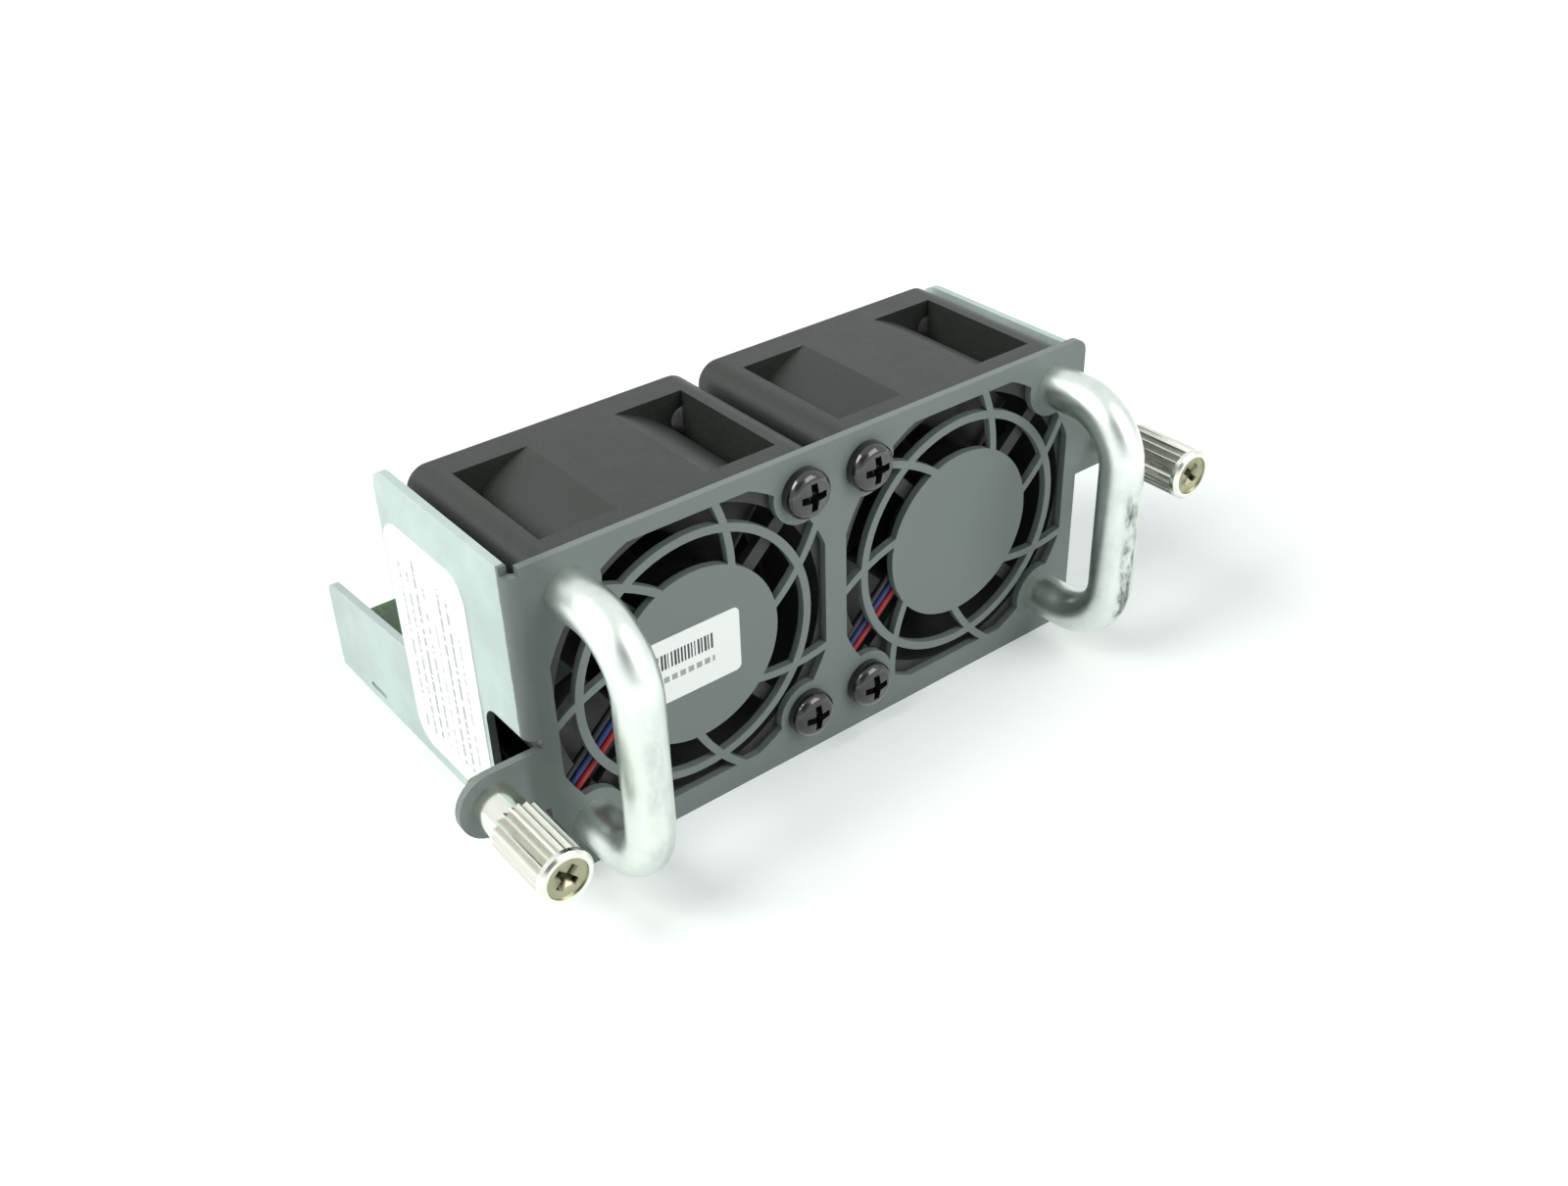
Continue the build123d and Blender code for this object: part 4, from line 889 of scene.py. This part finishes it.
@dataclass
class Impeller:
    """Fan wheel: a moulded hub, and five blades whose twist, camber and thickness follow a rule."""

    side: Side
    blades: int = 5
    hub_radius: float = 10.6 * MM
    hub_wall: float = 1.05 * MM
    hub_end: float = 1.3 * MM
    hub_round: float = 0.8 * MM
    round_steps: int = 8
    segments: int = 96
    blade_front: float = 3.2 * MM
    blade_half: float = 8.9 * MM
    blade_steps: tuple[int, int] = (40, 14)
    lead_axis: float = 5.07 * MM
    lead_growth: float = 0.4
    camber: float = 2.0 * MM
    thickness: float = 1.15 * MM
    taper: float = 0.4
    chord_share: float = 0.9

    def hub(self) -> Mesh:
        """Turn the hub's cup round the fan's axis.

        Returns:
            Its mesh.
        """
        low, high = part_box(self.side.of("impeller"))
        centre = (low + high) / 2
        inner = self.hub_radius - self.hub_wall
        profile = [(low.y, inner), (low.y, self.hub_radius)]
        for step in range(self.round_steps + 1):
            angle = math.pi / 2 * step / self.round_steps
            swell = self.hub_round * Vector((math.sin(angle), math.cos(angle)))
            profile.append((high.y - self.hub_round + swell.x, self.hub_radius - self.hub_round + swell.y))
        profile += [(high.y, 0.0), (high.y - self.hub_end, 0.0), (high.y - self.hub_end, inner)]
        shell = bmesh.new()
        angles = [math.tau * k / self.segments for k in range(self.segments)]
        rings = [
            [shell.verts.new((centre.x + r * math.cos(a), depth, centre.z + r * math.sin(a))) for a in angles]
            for depth, r in profile
        ]
        for number, ring in enumerate(rings):
            other = rings[(number + 1) % len(rings)]
            for k in range(self.segments):
                following = (k + 1) % self.segments
                shell.faces.new((ring[k], ring[following], other[following], other[k]))
        bmesh.ops.remove_doubles(shell, verts=shell.verts, dist=WELD)
        bmesh.ops.dissolve_degenerate(shell, edges=shell.edges, dist=WELD)
        return plain_mesh(shell, "hub")

    def blade_ring(self, material: Material) -> Mesh:
        """Shape one blade by its rule and repeat it round the hub.

        Args:
            material: Its finish.

        Returns:
            The blades' mesh.
        """
        low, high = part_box(self.side.of("impeller"))
        sizes = {
            "Root radius": self.hub_radius - self.hub_wall / 2,
            "Tip radius": (high.z - low.z) / 2,
            "Half length": self.blade_half,
            "Lead at axis": self.lead_axis,
            "Lead growth": self.lead_growth,
            "Camber": self.camber,
            "Thickness": self.thickness,
            "Taper": self.taper,
        }
        tree = DetailTree("twisted_blades", sizes)
        x, y, z = tree.position()
        share = x * self.chord_share
        root = tree["Root radius"]
        reach = root + (z + 0.5) * (tree["Tip radius"] - root)
        bow = tree["Camber"] * (1.0 - share * share)
        thick = y * 0.5 * tree["Thickness"] * (1.0 - share * tree["Taper"])
        # aside = start + slope * out, on the circle of that reach
        start = tree["Lead at axis"] * share + bow + thick
        slope = tree["Lead growth"] * share
        square = 1.0 + slope * slope
        cross = start * slope
        short = start * start - reach * reach
        out = (tree.math("SQRT", cross * cross - square * short) - cross) / square
        spot = tree.vector(out, x * tree["Half length"], start + slope * out)
        blade = tree.shape(tree.rod(*self.blade_steps), spot)
        centre = (low + high) / 2
        centre.y = low.y + self.blade_front + self.blade_half
        return tree.make(tree.turned(blade, self.blades), [centre], material)

    def build(self, material: Material) -> None:
        """Build the wheel in place of the CAD one.

        Args:
            material: Its finish.
        """
        meshes = [self.hub(), self.blade_ring(material)]
        wheel = show(self.side.of("fan_wheel"), meshes, material, self.side.of("rotor"))
        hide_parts(self.side.of("impeller"))


@dataclass
class CaptiveScrew:
    """Thumbscrew whose thread is cut as a helix, where the CAD has a plain rod."""

    side: Side
    cut: float = 0.95 * MM
    crest: float = 1.5 * MM
    root: float = 1.2 * MM
    pitch: float = 0.5 * MM
    ridge_gain: float = 1.3
    ridge_floor: float = 0.15
    tip_share: float = 0.85
    around: int = 40
    rows_per_turn: int = 12

    def head(self) -> Mesh:
        """Keep the head, neck and shank of the CAD screw, closed where the thread starts.

        Returns:
            Its mesh.
        """
        shell = bmesh.new()
        shell.from_mesh(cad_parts[self.side.of("thumb_screw")].data)
        bmesh.ops.remove_doubles(shell, verts=shell.verts, dist=WELD)
        everything = shell.verts[:] + shell.edges[:] + shell.faces[:]
        plane = {"plane_co": (0, PLATE_Y + self.cut, 0), "plane_no": (0, 1, 0)}
        bmesh.ops.bisect_plane(shell, geom=everything, clear_outer=True, **plane)
        bmesh.ops.holes_fill(shell, edges=[edge for edge in shell.edges if edge.is_boundary])
        return plain_mesh(shell, "screw_head")

    def thread(self, material: Material) -> Mesh:
        """Cut a helical thread with a lead-in and a pointed tip.

        Args:
            material: Its finish.

        Returns:
            Its mesh.
        """
        low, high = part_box(self.side.of("thumb_screw"))
        start = (low + high) / 2
        start.y = PLATE_Y + self.cut
        length = high.y - PLATE_Y - self.cut
        sizes = {"Crest": self.crest, "Root": self.root, "Pitch": self.pitch, "Length": length}
        tree = DetailTree("helical_thread", sizes)
        x, y, z = tree.position()
        along = (z + 0.5) * tree["Length"]
        turn = tree.math("ARCTAN2", y, x) / math.tau
        wave = tree.math("PINGPONG", (along / tree["Pitch"] - turn) * 2.0, 1.0)
        ridge = tree.math("SUBTRACT", wave * self.ridge_gain, self.ridge_floor, clamp=True)
        lead_in = tree.math("DIVIDE", along, tree["Pitch"], clamp=True)
        radius = tree["Root"] + (tree["Crest"] - tree["Root"]) * (ridge * lead_in)
        point = tree["Length"] - along + tree["Root"] * self.tip_share
        radius = tree.math("MINIMUM", radius, point)
        rod = tree.rod(self.around, round(length / self.pitch * self.rows_per_turn))
        return tree.make(tree.shape(rod, tree.vector(x * radius, along, y * -radius)), [start], material)

    def build(self, material: Material) -> None:
        """Build the screw in place of the CAD one.

        Args:
            material: Its finish.
        """
        meshes = [self.head(), self.thread(material)]
        screw = show(self.side.of("threaded_screw"), meshes, material, self.side.of("thumbscrew"))
        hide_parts(self.side.of("thumb_screw"))


@dataclass
class CoilSpring:
    """Spring in the knob, with one closed turn at each end."""

    side: Side
    wire: float = 0.2 * MM
    wire_sides: int = 10
    turns: float = 6.0
    rows_per_turn: int = 28
    closed_rise: float = 2.1

    def build(self, material: Material) -> None:
        """Build the spring in place of the CAD one.

        Args:
            material: Its finish.
        """
        low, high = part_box(self.side.of("spring"))
        length = high.y - low.y
        end = (low + high) / 2
        end.y = low.y
        sizes = {"Radius": (high.x - low.x) / 2 - self.wire, "Wire": self.wire, "Turns": self.turns, "Length": length}
        tree = DetailTree("coil_spring", sizes)
        radius, wire, turns = tree["Radius"], tree["Wire"], tree["Turns"]
        helix = {"Resolution": self.rows_per_turn, "Rotations": turns, "Height": 1.0}
        coil = tree.get("CurveSpiral", helix | {"Start Radius": radius, "End Radius": radius})
        x, y, z = tree.position()
        # a closed end turn rises by one wire, and the open ones share the rest
        end_rise = wire * self.closed_rise
        turn = z * turns
        first = tree.math("MINIMUM", turn, 1.0)
        last = tree.math("MAXIMUM", turn - (turns - 1.0), 0.0)
        open_share = (turn - first - last) / (turns - 2.0)
        open_rise = tree["Length"] - (end_rise * 2.0 + wire * 2.0)
        along = wire + (end_rise * (first + last) + open_rise * open_share)
        path = tree.shape(coil, tree.vector(x, along, -y))
        outline = tree.get("CurvePrimitiveCircle", {"Resolution": self.wire_sides, "Radius": wire})
        mesh = tree.make(tree.sweep(path, outline), [end], material)
        spring = show(self.side.of("coil_spring"), [mesh], material, self.side.of("retainer"))
        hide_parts(self.side.of("spring"))
        joint = self.side.of("thumb_slide")
        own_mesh(spring)


@dataclass
class RearContacts:
    """Bowed spring leaves, two in each hole of the rear receptacle, and the solder round the tails."""

    columns: int = 4
    spacing: float = 3.6 * MM
    row_spacing: float = 3.2 * MM
    depth: float = 4.2 * MM
    inset: float = 0.4 * MM
    leaf_width: float = 0.7 * MM
    leaf_thickness: float = 0.12 * MM
    leaf_steps: int = 14
    mouth: float = 0.46 * MM
    mouth_back: float = 0.9
    waist: float = -0.12 * MM
    tail_reach: Span = (1.2 * MM, 2.6 * MM)
    pad_radius: float = 0.95 * MM
    neck_radius: float = 0.42 * MM
    solder_height: float = 0.65 * MM
    solder_hollow: float = 2.3
    solder_steps: tuple[int, int] = (28, 8)

    def holes(self) -> list[tuple[float, int]]:
        """Find the receptacle's holes.

        Returns:
            Place along X and row of each.
        """
        low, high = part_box("rear_connector")
        middle = (low.x + high.x) / 2
        places = [middle + (k - (self.columns - 1) / 2) * self.spacing for k in range(self.columns)]
        return [(x, row) for x in places for row in (0, 1)]

    def leaves(self, material: Material) -> None:
        """Put a pair of leaves into each hole.

        Args:
            material: Their finish.
        """
        sizes = {"Depth": self.depth, "Width": self.leaf_width, "Thickness": self.leaf_thickness}
        tree = DetailTree("bowed_leaves", sizes | {"Mouth": self.mouth, "Waist": self.waist})
        back = -tree["Depth"]
        bends = {
            "Start": tree.vector(0.0, 0.0, tree["Mouth"]),
            "Middle": tree.vector(0.0, back * 0.5, tree["Waist"]),
            "End": tree.vector(0.0, back, tree["Mouth"] * self.mouth_back),
        }
        path = tree.get("CurveQuadraticBezier", {"Resolution": self.leaf_steps} | bends)
        leaf = tree.sweep(path, tree.oblong(tree["Width"], tree["Thickness"]))
        low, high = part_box("rear_connector")
        middle = (low.z + high.z) / 2
        rise = [(row - 0.5) * self.row_spacing for row in (0, 1)]
        points = [Vector((x, high.y - self.inset, middle + rise[row])) for x, row in self.holes()]
        mesh = tree.make(tree.turned(leaf, 2), points, material)
        show("contact_leaves", [mesh], material, "tray")

    def solder(self, material: Material) -> None:
        """Put a concave fillet of solder round each tail, above the board and below it.

        Args:
            material: Its finish.
        """
        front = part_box("rear_connector")[0].y
        below, above = (corner.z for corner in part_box("connector_board"))
        meshes = []
        for level, height in ((above, self.solder_height), (below, -self.solder_height)):
            sizes = {"Pad": self.pad_radius, "Neck": self.neck_radius, "Height": height}
            tree = DetailTree("solder_fillet", sizes)
            x, y, z = tree.position()
            rise = z + 0.5
            fall = (1.0 - rise) ** self.solder_hollow
            radius = tree["Neck"] + fall * (tree["Pad"] - tree["Neck"])
            spot = tree.vector(x * radius, y * radius, rise * tree["Height"])
            points = [Vector((across, front - self.tail_reach[row], level)) for across, row in self.holes()]
            meshes.append(tree.make(tree.shape(tree.rod(*self.solder_steps), spot), points, material))
        show("tail_solder", meshes, material, "tray")

    def build(self, leaf_metal: Material, tin: Material) -> None:
        """Build the leaves and the solder."""
        self.leaves(leaf_metal)
        self.solder(tin)


@dataclass
class BoardParts:
    """Small ceramic chips with tinned ends, and one eight-legged controller, on the connector board."""

    chip: Point = (2.0 * MM, 1.2 * MM, 0.6 * MM)
    end_length: float = 0.35 * MM
    end_swell: float = 0.03 * MM
    rounding: float = 0.06 * MM
    body: Point = (5.0 * MM, 4.0 * MM, 1.4 * MM)
    lift: float = 0.15 * MM
    legs: int = 4
    leg_steps: int = 12
    leg_spacing: float = 1.27 * MM
    leg_width: float = 0.4 * MM
    leg_thickness: float = 0.15 * MM
    leg_reach: float = 1.0 * MM
    # places on the board: millimetres along X, and behind the plate's face
    controller_at: Span = (31.0, 42.0)
    left_chips: tuple[Span, ...] = ((-18, 36), (-22, 36), (-18, 39), (-22, 39))
    middle_chips: tuple[Span, ...] = ((18.5, 37), (18.5, 40), (18.5, 43), (22.5, 40), (22.5, 43))
    right_chips: tuple[Span, ...] = ((37, 38), (37, 41), (37, 44))

    def spots(self, places: Iterable[Span]) -> list[Vector]:
        """Points on the board's top face.

        Args:
            places: Millimetres along X, and behind the plate's face.

        Returns:
            The points, in metres.
        """
        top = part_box("connector_board")[1].z
        return [Vector((x * MM, PLATE_Y + depth * MM, top)) for x, depth in places]

    def blocks(
        self,
        name: str,
        spans: list[Span],
        profile: Span,
        lift: float,
        spots: list[Vector],
        material: Material,
    ) -> None:
        """Show bars along X with rounded long edges, the same group of them at each spot.

        Args:
            name: Name of the piece.
            spans: Start and end of each bar in the group.
            profile: Width and height of a bar.
            lift: Gap under the bars.
            spots: Points on the board.
            material: Their finish.
        """
        sizes = {f"{end} {k}": x for k, span in enumerate(spans) for end, x in zip(("Start", "End"), span)}
        tree = DetailTree(name, sizes | {"Width": profile[0], "Height": profile[1], "Lift": lift})
        corners = {"Radius": self.rounding, "Count": 3, "Limit Radius": True}
        square = tree.oblong(tree["Width"], tree["Height"])
        outline = tree.get("FilletCurve", {"Curve": square} | corners, mode="POLY")
        level = tree["Height"] * 0.5 + tree["Lift"]
        bars = []
        for k in range(len(spans)):
            ends = {end: tree.vector(tree[f"{end} {k}"], 0.0, level) for end in ("Start", "End")}
            bars.append(tree.sweep(tree.get("CurvePrimitiveLine", ends), outline))
        show(name, [tree.make(tree.join(bars), spots, material)], material, "tray")

    def chips(self, ceramic: Material, tin: Material) -> None:
        """Make the chips.

        Args:
            ceramic: Finish of their bodies.
            tin: Finish of their ends.
        """
        length, width, height = self.chip
        spots = self.spots(self.middle_chips + self.right_chips + self.left_chips)
        half = length / 2 - self.end_length / 2
        self.blocks("chip_bodies", [(-half, half)], (width, height), self.end_swell, spots, ceramic)
        inner, outer = length / 2 - self.end_length, length / 2
        swollen = (width + 2 * self.end_swell, height + 2 * self.end_swell)
        self.blocks("chip_ends", [(-inner, -outer), (inner, outer)], swollen, 0.0, spots, tin)

    def controller(self, plastic: Material, tin: Material) -> None:
        """Make the controller.

        Args:
            plastic: Finish of its body.
            tin: Finish of its bent legs.
        """
        length, width, height = self.body
        spots = self.spots([self.controller_at])
        span = (-length / 2, length / 2)
        self.blocks("controller_body", [span], (width, height), self.lift, spots, plastic)
        sizes = {"Reach": self.leg_reach, "Width": self.leg_width, "Thickness": self.leg_thickness}
        tree = DetailTree("bent_legs", sizes | {"Level": height / 2 + self.lift})
        foot = tree["Thickness"] * 0.5
        reach, level = tree["Reach"], tree["Level"]
        bends = {
            "Start": tree.vector(0.0, reach * -0.2, level),
            "Start Handle": tree.vector(0.0, reach * 0.75, level),
            "End Handle": tree.vector(0.0, reach * 0.25, foot),
            "End": tree.vector(0.0, reach, foot),
        }
        path = tree.get("CurvePrimitiveBezierSegment", {"Resolution": self.leg_steps} | bends)
        leg = tree.sweep(path, tree.oblong(tree["Width"], tree["Thickness"]))
        start = ((1 - self.legs) / 2 * self.leg_spacing, width / 2, 0.0)
        line = {"Count": self.legs, "Start Location": start, "Offset": (self.leg_spacing, 0.0, 0.0)}
        side = tree.get("InstanceOnPoints", {"Points": tree.get("MeshLine", line), "Instance": leg})
        turn = tree.get("FunctionNodeEulerToRotation", {0: (0.0, 0.0, math.pi)})
        whole_side = tree.get("GeometryToInstance", {0: side})
        other = tree.get("RotateInstances", {"Instances": whole_side, "Rotation": turn})
        whole = tree.get("GeometryToInstance", {0: tree.join([side, other])})
        show("controller_legs", [tree.make(whole, spots, tin)], tin, "tray")

    def build(self, ceramic: Material, plastic: Material, tin: Material) -> None:
        """Build the board's parts."""
        self.chips(ceramic, tin)
        self.controller(plastic, tin)


@dataclass(frozen=True)
class FanTrayFinishes:
    """Every finish of the tray, by what takes it."""

    fans = Moulding("fan_plastic", srgb(36, 39, 36), 0.42, speckle=0.5, shine=0.42)
    blades = Moulding("impeller_plastic", srgb(22, 23, 23), 0.3, 0.01 * MM)
    magnets = Moulding("magnet_ferrite", srgb(58, 54, 52), 0.6)
    plastic = Moulding("connector_plastic", srgb(36, 36, 38), 0.34, 0.008 * MM)
    headers = Moulding("header_plastic", srgb(226, 220, 200), 0.4, 0.008 * MM, 0.05)
    ceramic = Moulding("chip_ceramic", srgb(148, 126, 96), 0.45, 0.004 * MM, 0.1)
    black = Metal("black_steel", srgb(30, 30, 31), 0.2, (900, 900, 900), metallic=0.4, coat=1.0)
    zinc = Metal(
        "head_zinc", srgb(166, 164, 138), 0.34, (1500, 300, 1500), srgb(140, 134, 104), recess_shade=srgb(58, 54, 40)
    )
    steel = Metal("steel", srgb(186, 188, 186), 0.32, (1500, 1500, 300))
    tin = Metal("tin_solder", srgb(206, 208, 206), 0.22, (800, 800, 800))
    gilt = Metal("contact_metal", srgb(214, 186, 120), 0.22, (2000, 2000, 2000))
    leads = (
        Insulation("red", srgb(150, 36, 40)),
        Insulation("blue", srgb(26, 46, 100)),
        Insulation("black", srgb(24, 24, 26)),
    )

    def apply(self) -> dict[object, Material]:
        """Dress all the CAD nodes.

        Returns:
            The material of each finish.
        """
        turned = pairs("rotor_cup", "shaft", "bearings", "shaft_clip", "snap_ring", "spring")
        takers = [
            (self.blades, pairs("impeller")),
            (self.zinc, pairs("thumb_screw")),
            (self.plastic, ["rear_connector"]),
            (self.gilt, ["connector_tails"]),
            (self.steel, turned + ["board_standoffs", "board_screws"]),
            (self.tin, []),
            (self.ceramic, []),
            (PaintedSheet(), ["tray_sheet"]),
            (self.fans, pairs("fan_frame")),
            (self.black, ["fan_screws", "handle_screws"]),
            (self.magnets, pairs("magnet")),
            (self.headers, pairs("lead_header", "lead_plug")),
            (WoundWire(), pairs("windings")),
            (Laminations(), pairs("stator")),
            (BoardFinish(), ["connector_board"] + pairs("motor_board")),
            (LabelFilm("side_label_film"), ["side_label"]),
            (BarLabel("hub_label_film"), ["hub_label"]),
        ]
        takers += [(lead, pairs(f"{lead.colour_name}_lead")) for lead in self.leads]
        for side in Side:
            takers += [(KnobFinish(side), [side.of("collar"), side.of("knob")])]
            takers += [(HandleFinish(side), [side.of("handle")])]
        made = {}
        for finish, nodes in takers:
            made[finish] = finish.material()
            dress(made[finish], nodes)
        return made


@dataclass(frozen=True)
class Lamp:
    """One square soft lamp that faces the tray."""

    name: str
    at: Point
    size: float
    watts: float
    aim: Point = (0, 0, 0.02)

    def hang(self) -> None:
        """Put the lamp into the scene."""
        data = bpy.data.lights.new(self.name, "AREA")
        data.size = self.size
        data.energy = self.watts
        toward = Vector(self.aim) - Vector(self.at)
        turn = toward.to_track_quat("-Z", "Y").to_matrix().to_4x4()
        enter(self.name, data).matrix_world = Matrix.Translation(self.at) @ turn


@dataclass
class Studio:
    """White table and backdrop, soft lamps, and a camera where the photograph was taken."""

    lens: float = 36.55
    sensor: float = 36.0
    clip_start: float = 0.005
    roll: float = math.radians(-1.849)
    eye: Vector = field(default_factory=lambda: Vector((-103.3, -144.5, 130.6)) * MM)
    look_at: Vector = field(default_factory=lambda: Vector((-7.384, -19.1, 25.623)) * MM)
    floor_size: float = 3.0
    floor_tone: Colour = (0.8, 0.84, 0.82, 1.0)
    floor_lift: float = 0.2
    floor_lift_far: float = 0.9
    near_edge: float = 0.05
    far_edge: float = 0.3
    air: Colour = (0.97, 1.0, 0.985, 1.0)
    ambient: float = 0.36
    backdrop: float = 1.05
    opening: float = math.radians(30)
    opening_core: float = 0.45
    opening_level: float = 0.25
    lamps: tuple[Lamp, ...] = (
        Lamp("key", (-0.5, 0.1, 0.52), 0.42, 4.8),
        Lamp("fill", (0.22, -0.46, 0.4), 0.4, 2.0),
    )

    def camera(self) -> None:
        """Place the camera."""
        back = (self.eye - self.look_at).normalized()
        right = Vector((0, 0, 1)).cross(back).normalized()
        up = back.cross(right)
        turned = math.cos(self.roll) * right + math.sin(self.roll) * up
        upright = math.cos(self.roll) * up - math.sin(self.roll) * right
        data = bpy.data.cameras.new("camera")
        data.sensor_width = self.sensor
        data.lens = self.lens
        data.clip_start = self.clip_start
        data.dof.use_dof = False
        made = enter("camera", data)
        made.matrix_world = Matrix.Translation(self.eye) @ Matrix((turned, upright, back)).transposed().to_4x4()
        bpy.context.scene.camera = made

    def floor(self) -> None:
        """Lay the white table, which shows white to the camera and keeps the shadow."""
        mesh = bpy.data.meshes.new("table")
        half = self.floor_size / 2
        corners = [(-half, -half, 0), (half, -half, 0), (half, half, 0), (-half, half, 0)]
        mesh.from_pydata(corners, [], [(0, 1, 2, 3)])
        table = enter("table", mesh)
        material = bpy.data.materials.new("table_white")
        material.use_nodes = True
        material.node_tree.nodes.clear()
        graph = Graph(material.node_tree)
        # the glow that keeps the table white grows with the distance, so that the shadow stays
        seen = graph.math("MAXIMUM", graph.rays("Camera"), graph.rays("Glossy"))
        distance = graph.vectors("LENGTH", graph.get("TexCoord", output="Object"), output=1)
        growth = graph.band(distance, self.near_edge, self.far_edge, self.floor_lift, self.floor_lift_far)
        glow = graph.get("Emission", {"Strength": seen * growth})
        both = graph.get("AddShader", {0: graph.get("BsdfDiffuse", {0: self.floor_tone}), 1: glow})
        graph.node("OutputMaterial", {"Surface": both})
        mesh.materials.append(material)

    def world(self) -> None:
        """Even white surroundings: seen at full white, and a plain level of light."""
        world = bpy.data.worlds.new("white_room")
        bpy.context.scene.world = world
        world.use_nodes = True
        graph = Graph(world.node_tree)
        ground = graph.tree.nodes["Background"]
        seen = graph.math("MAXIMUM", graph.rays("Camera"), graph.rays("Transmission"))
        level = graph.spread(graph.math("MAXIMUM", seen, graph.rays("Glossy")), self.ambient, self.backdrop)
        # the grey opening that the lens looks through shows in the metal only
        seen_way = graph.get("TexCoord", output="Generated")
        toward = graph.vectors("DOT_PRODUCT", seen_way, self.eye.normalized(), 1)
        rim, core = math.cos(self.opening), math.cos(self.opening * self.opening_core)
        patch = graph.band(toward, rim, core, 1.0, self.opening_level)
        graph.link(self.air, ground.inputs["Color"])
        graph.link(level * graph.math("MAXIMUM", patch, seen), ground.inputs["Strength"])

    def build(self) -> None:
        """Set the stage."""
        self.camera()
        self.floor()
        self.world()
        for lamp in self.lamps:
            lamp.hang()
        bpy.context.scene.view_settings.view_transform = "Standard"
        LOG.info("studio set")


def main() -> None:
    """Build the stage, dress the CAD pieces and add the finer ones."""
    logging.basicConfig(level=logging.INFO, format="%(name)s: %(message)s")
    Studio().build()
    looks = FanTrayFinishes()
    made = looks.apply()
    for side in Side:
        Impeller(side).build(made[looks.blades])
        CaptiveScrew(side).build(made[looks.zinc])
        CoilSpring(side).build(made[looks.steel])
    RearContacts().build(made[looks.gilt], made[looks.tin])
    BoardParts().build(made[looks.ceramic], made[looks.plastic], made[looks.tin])


if __name__ == "__main__":
    main()
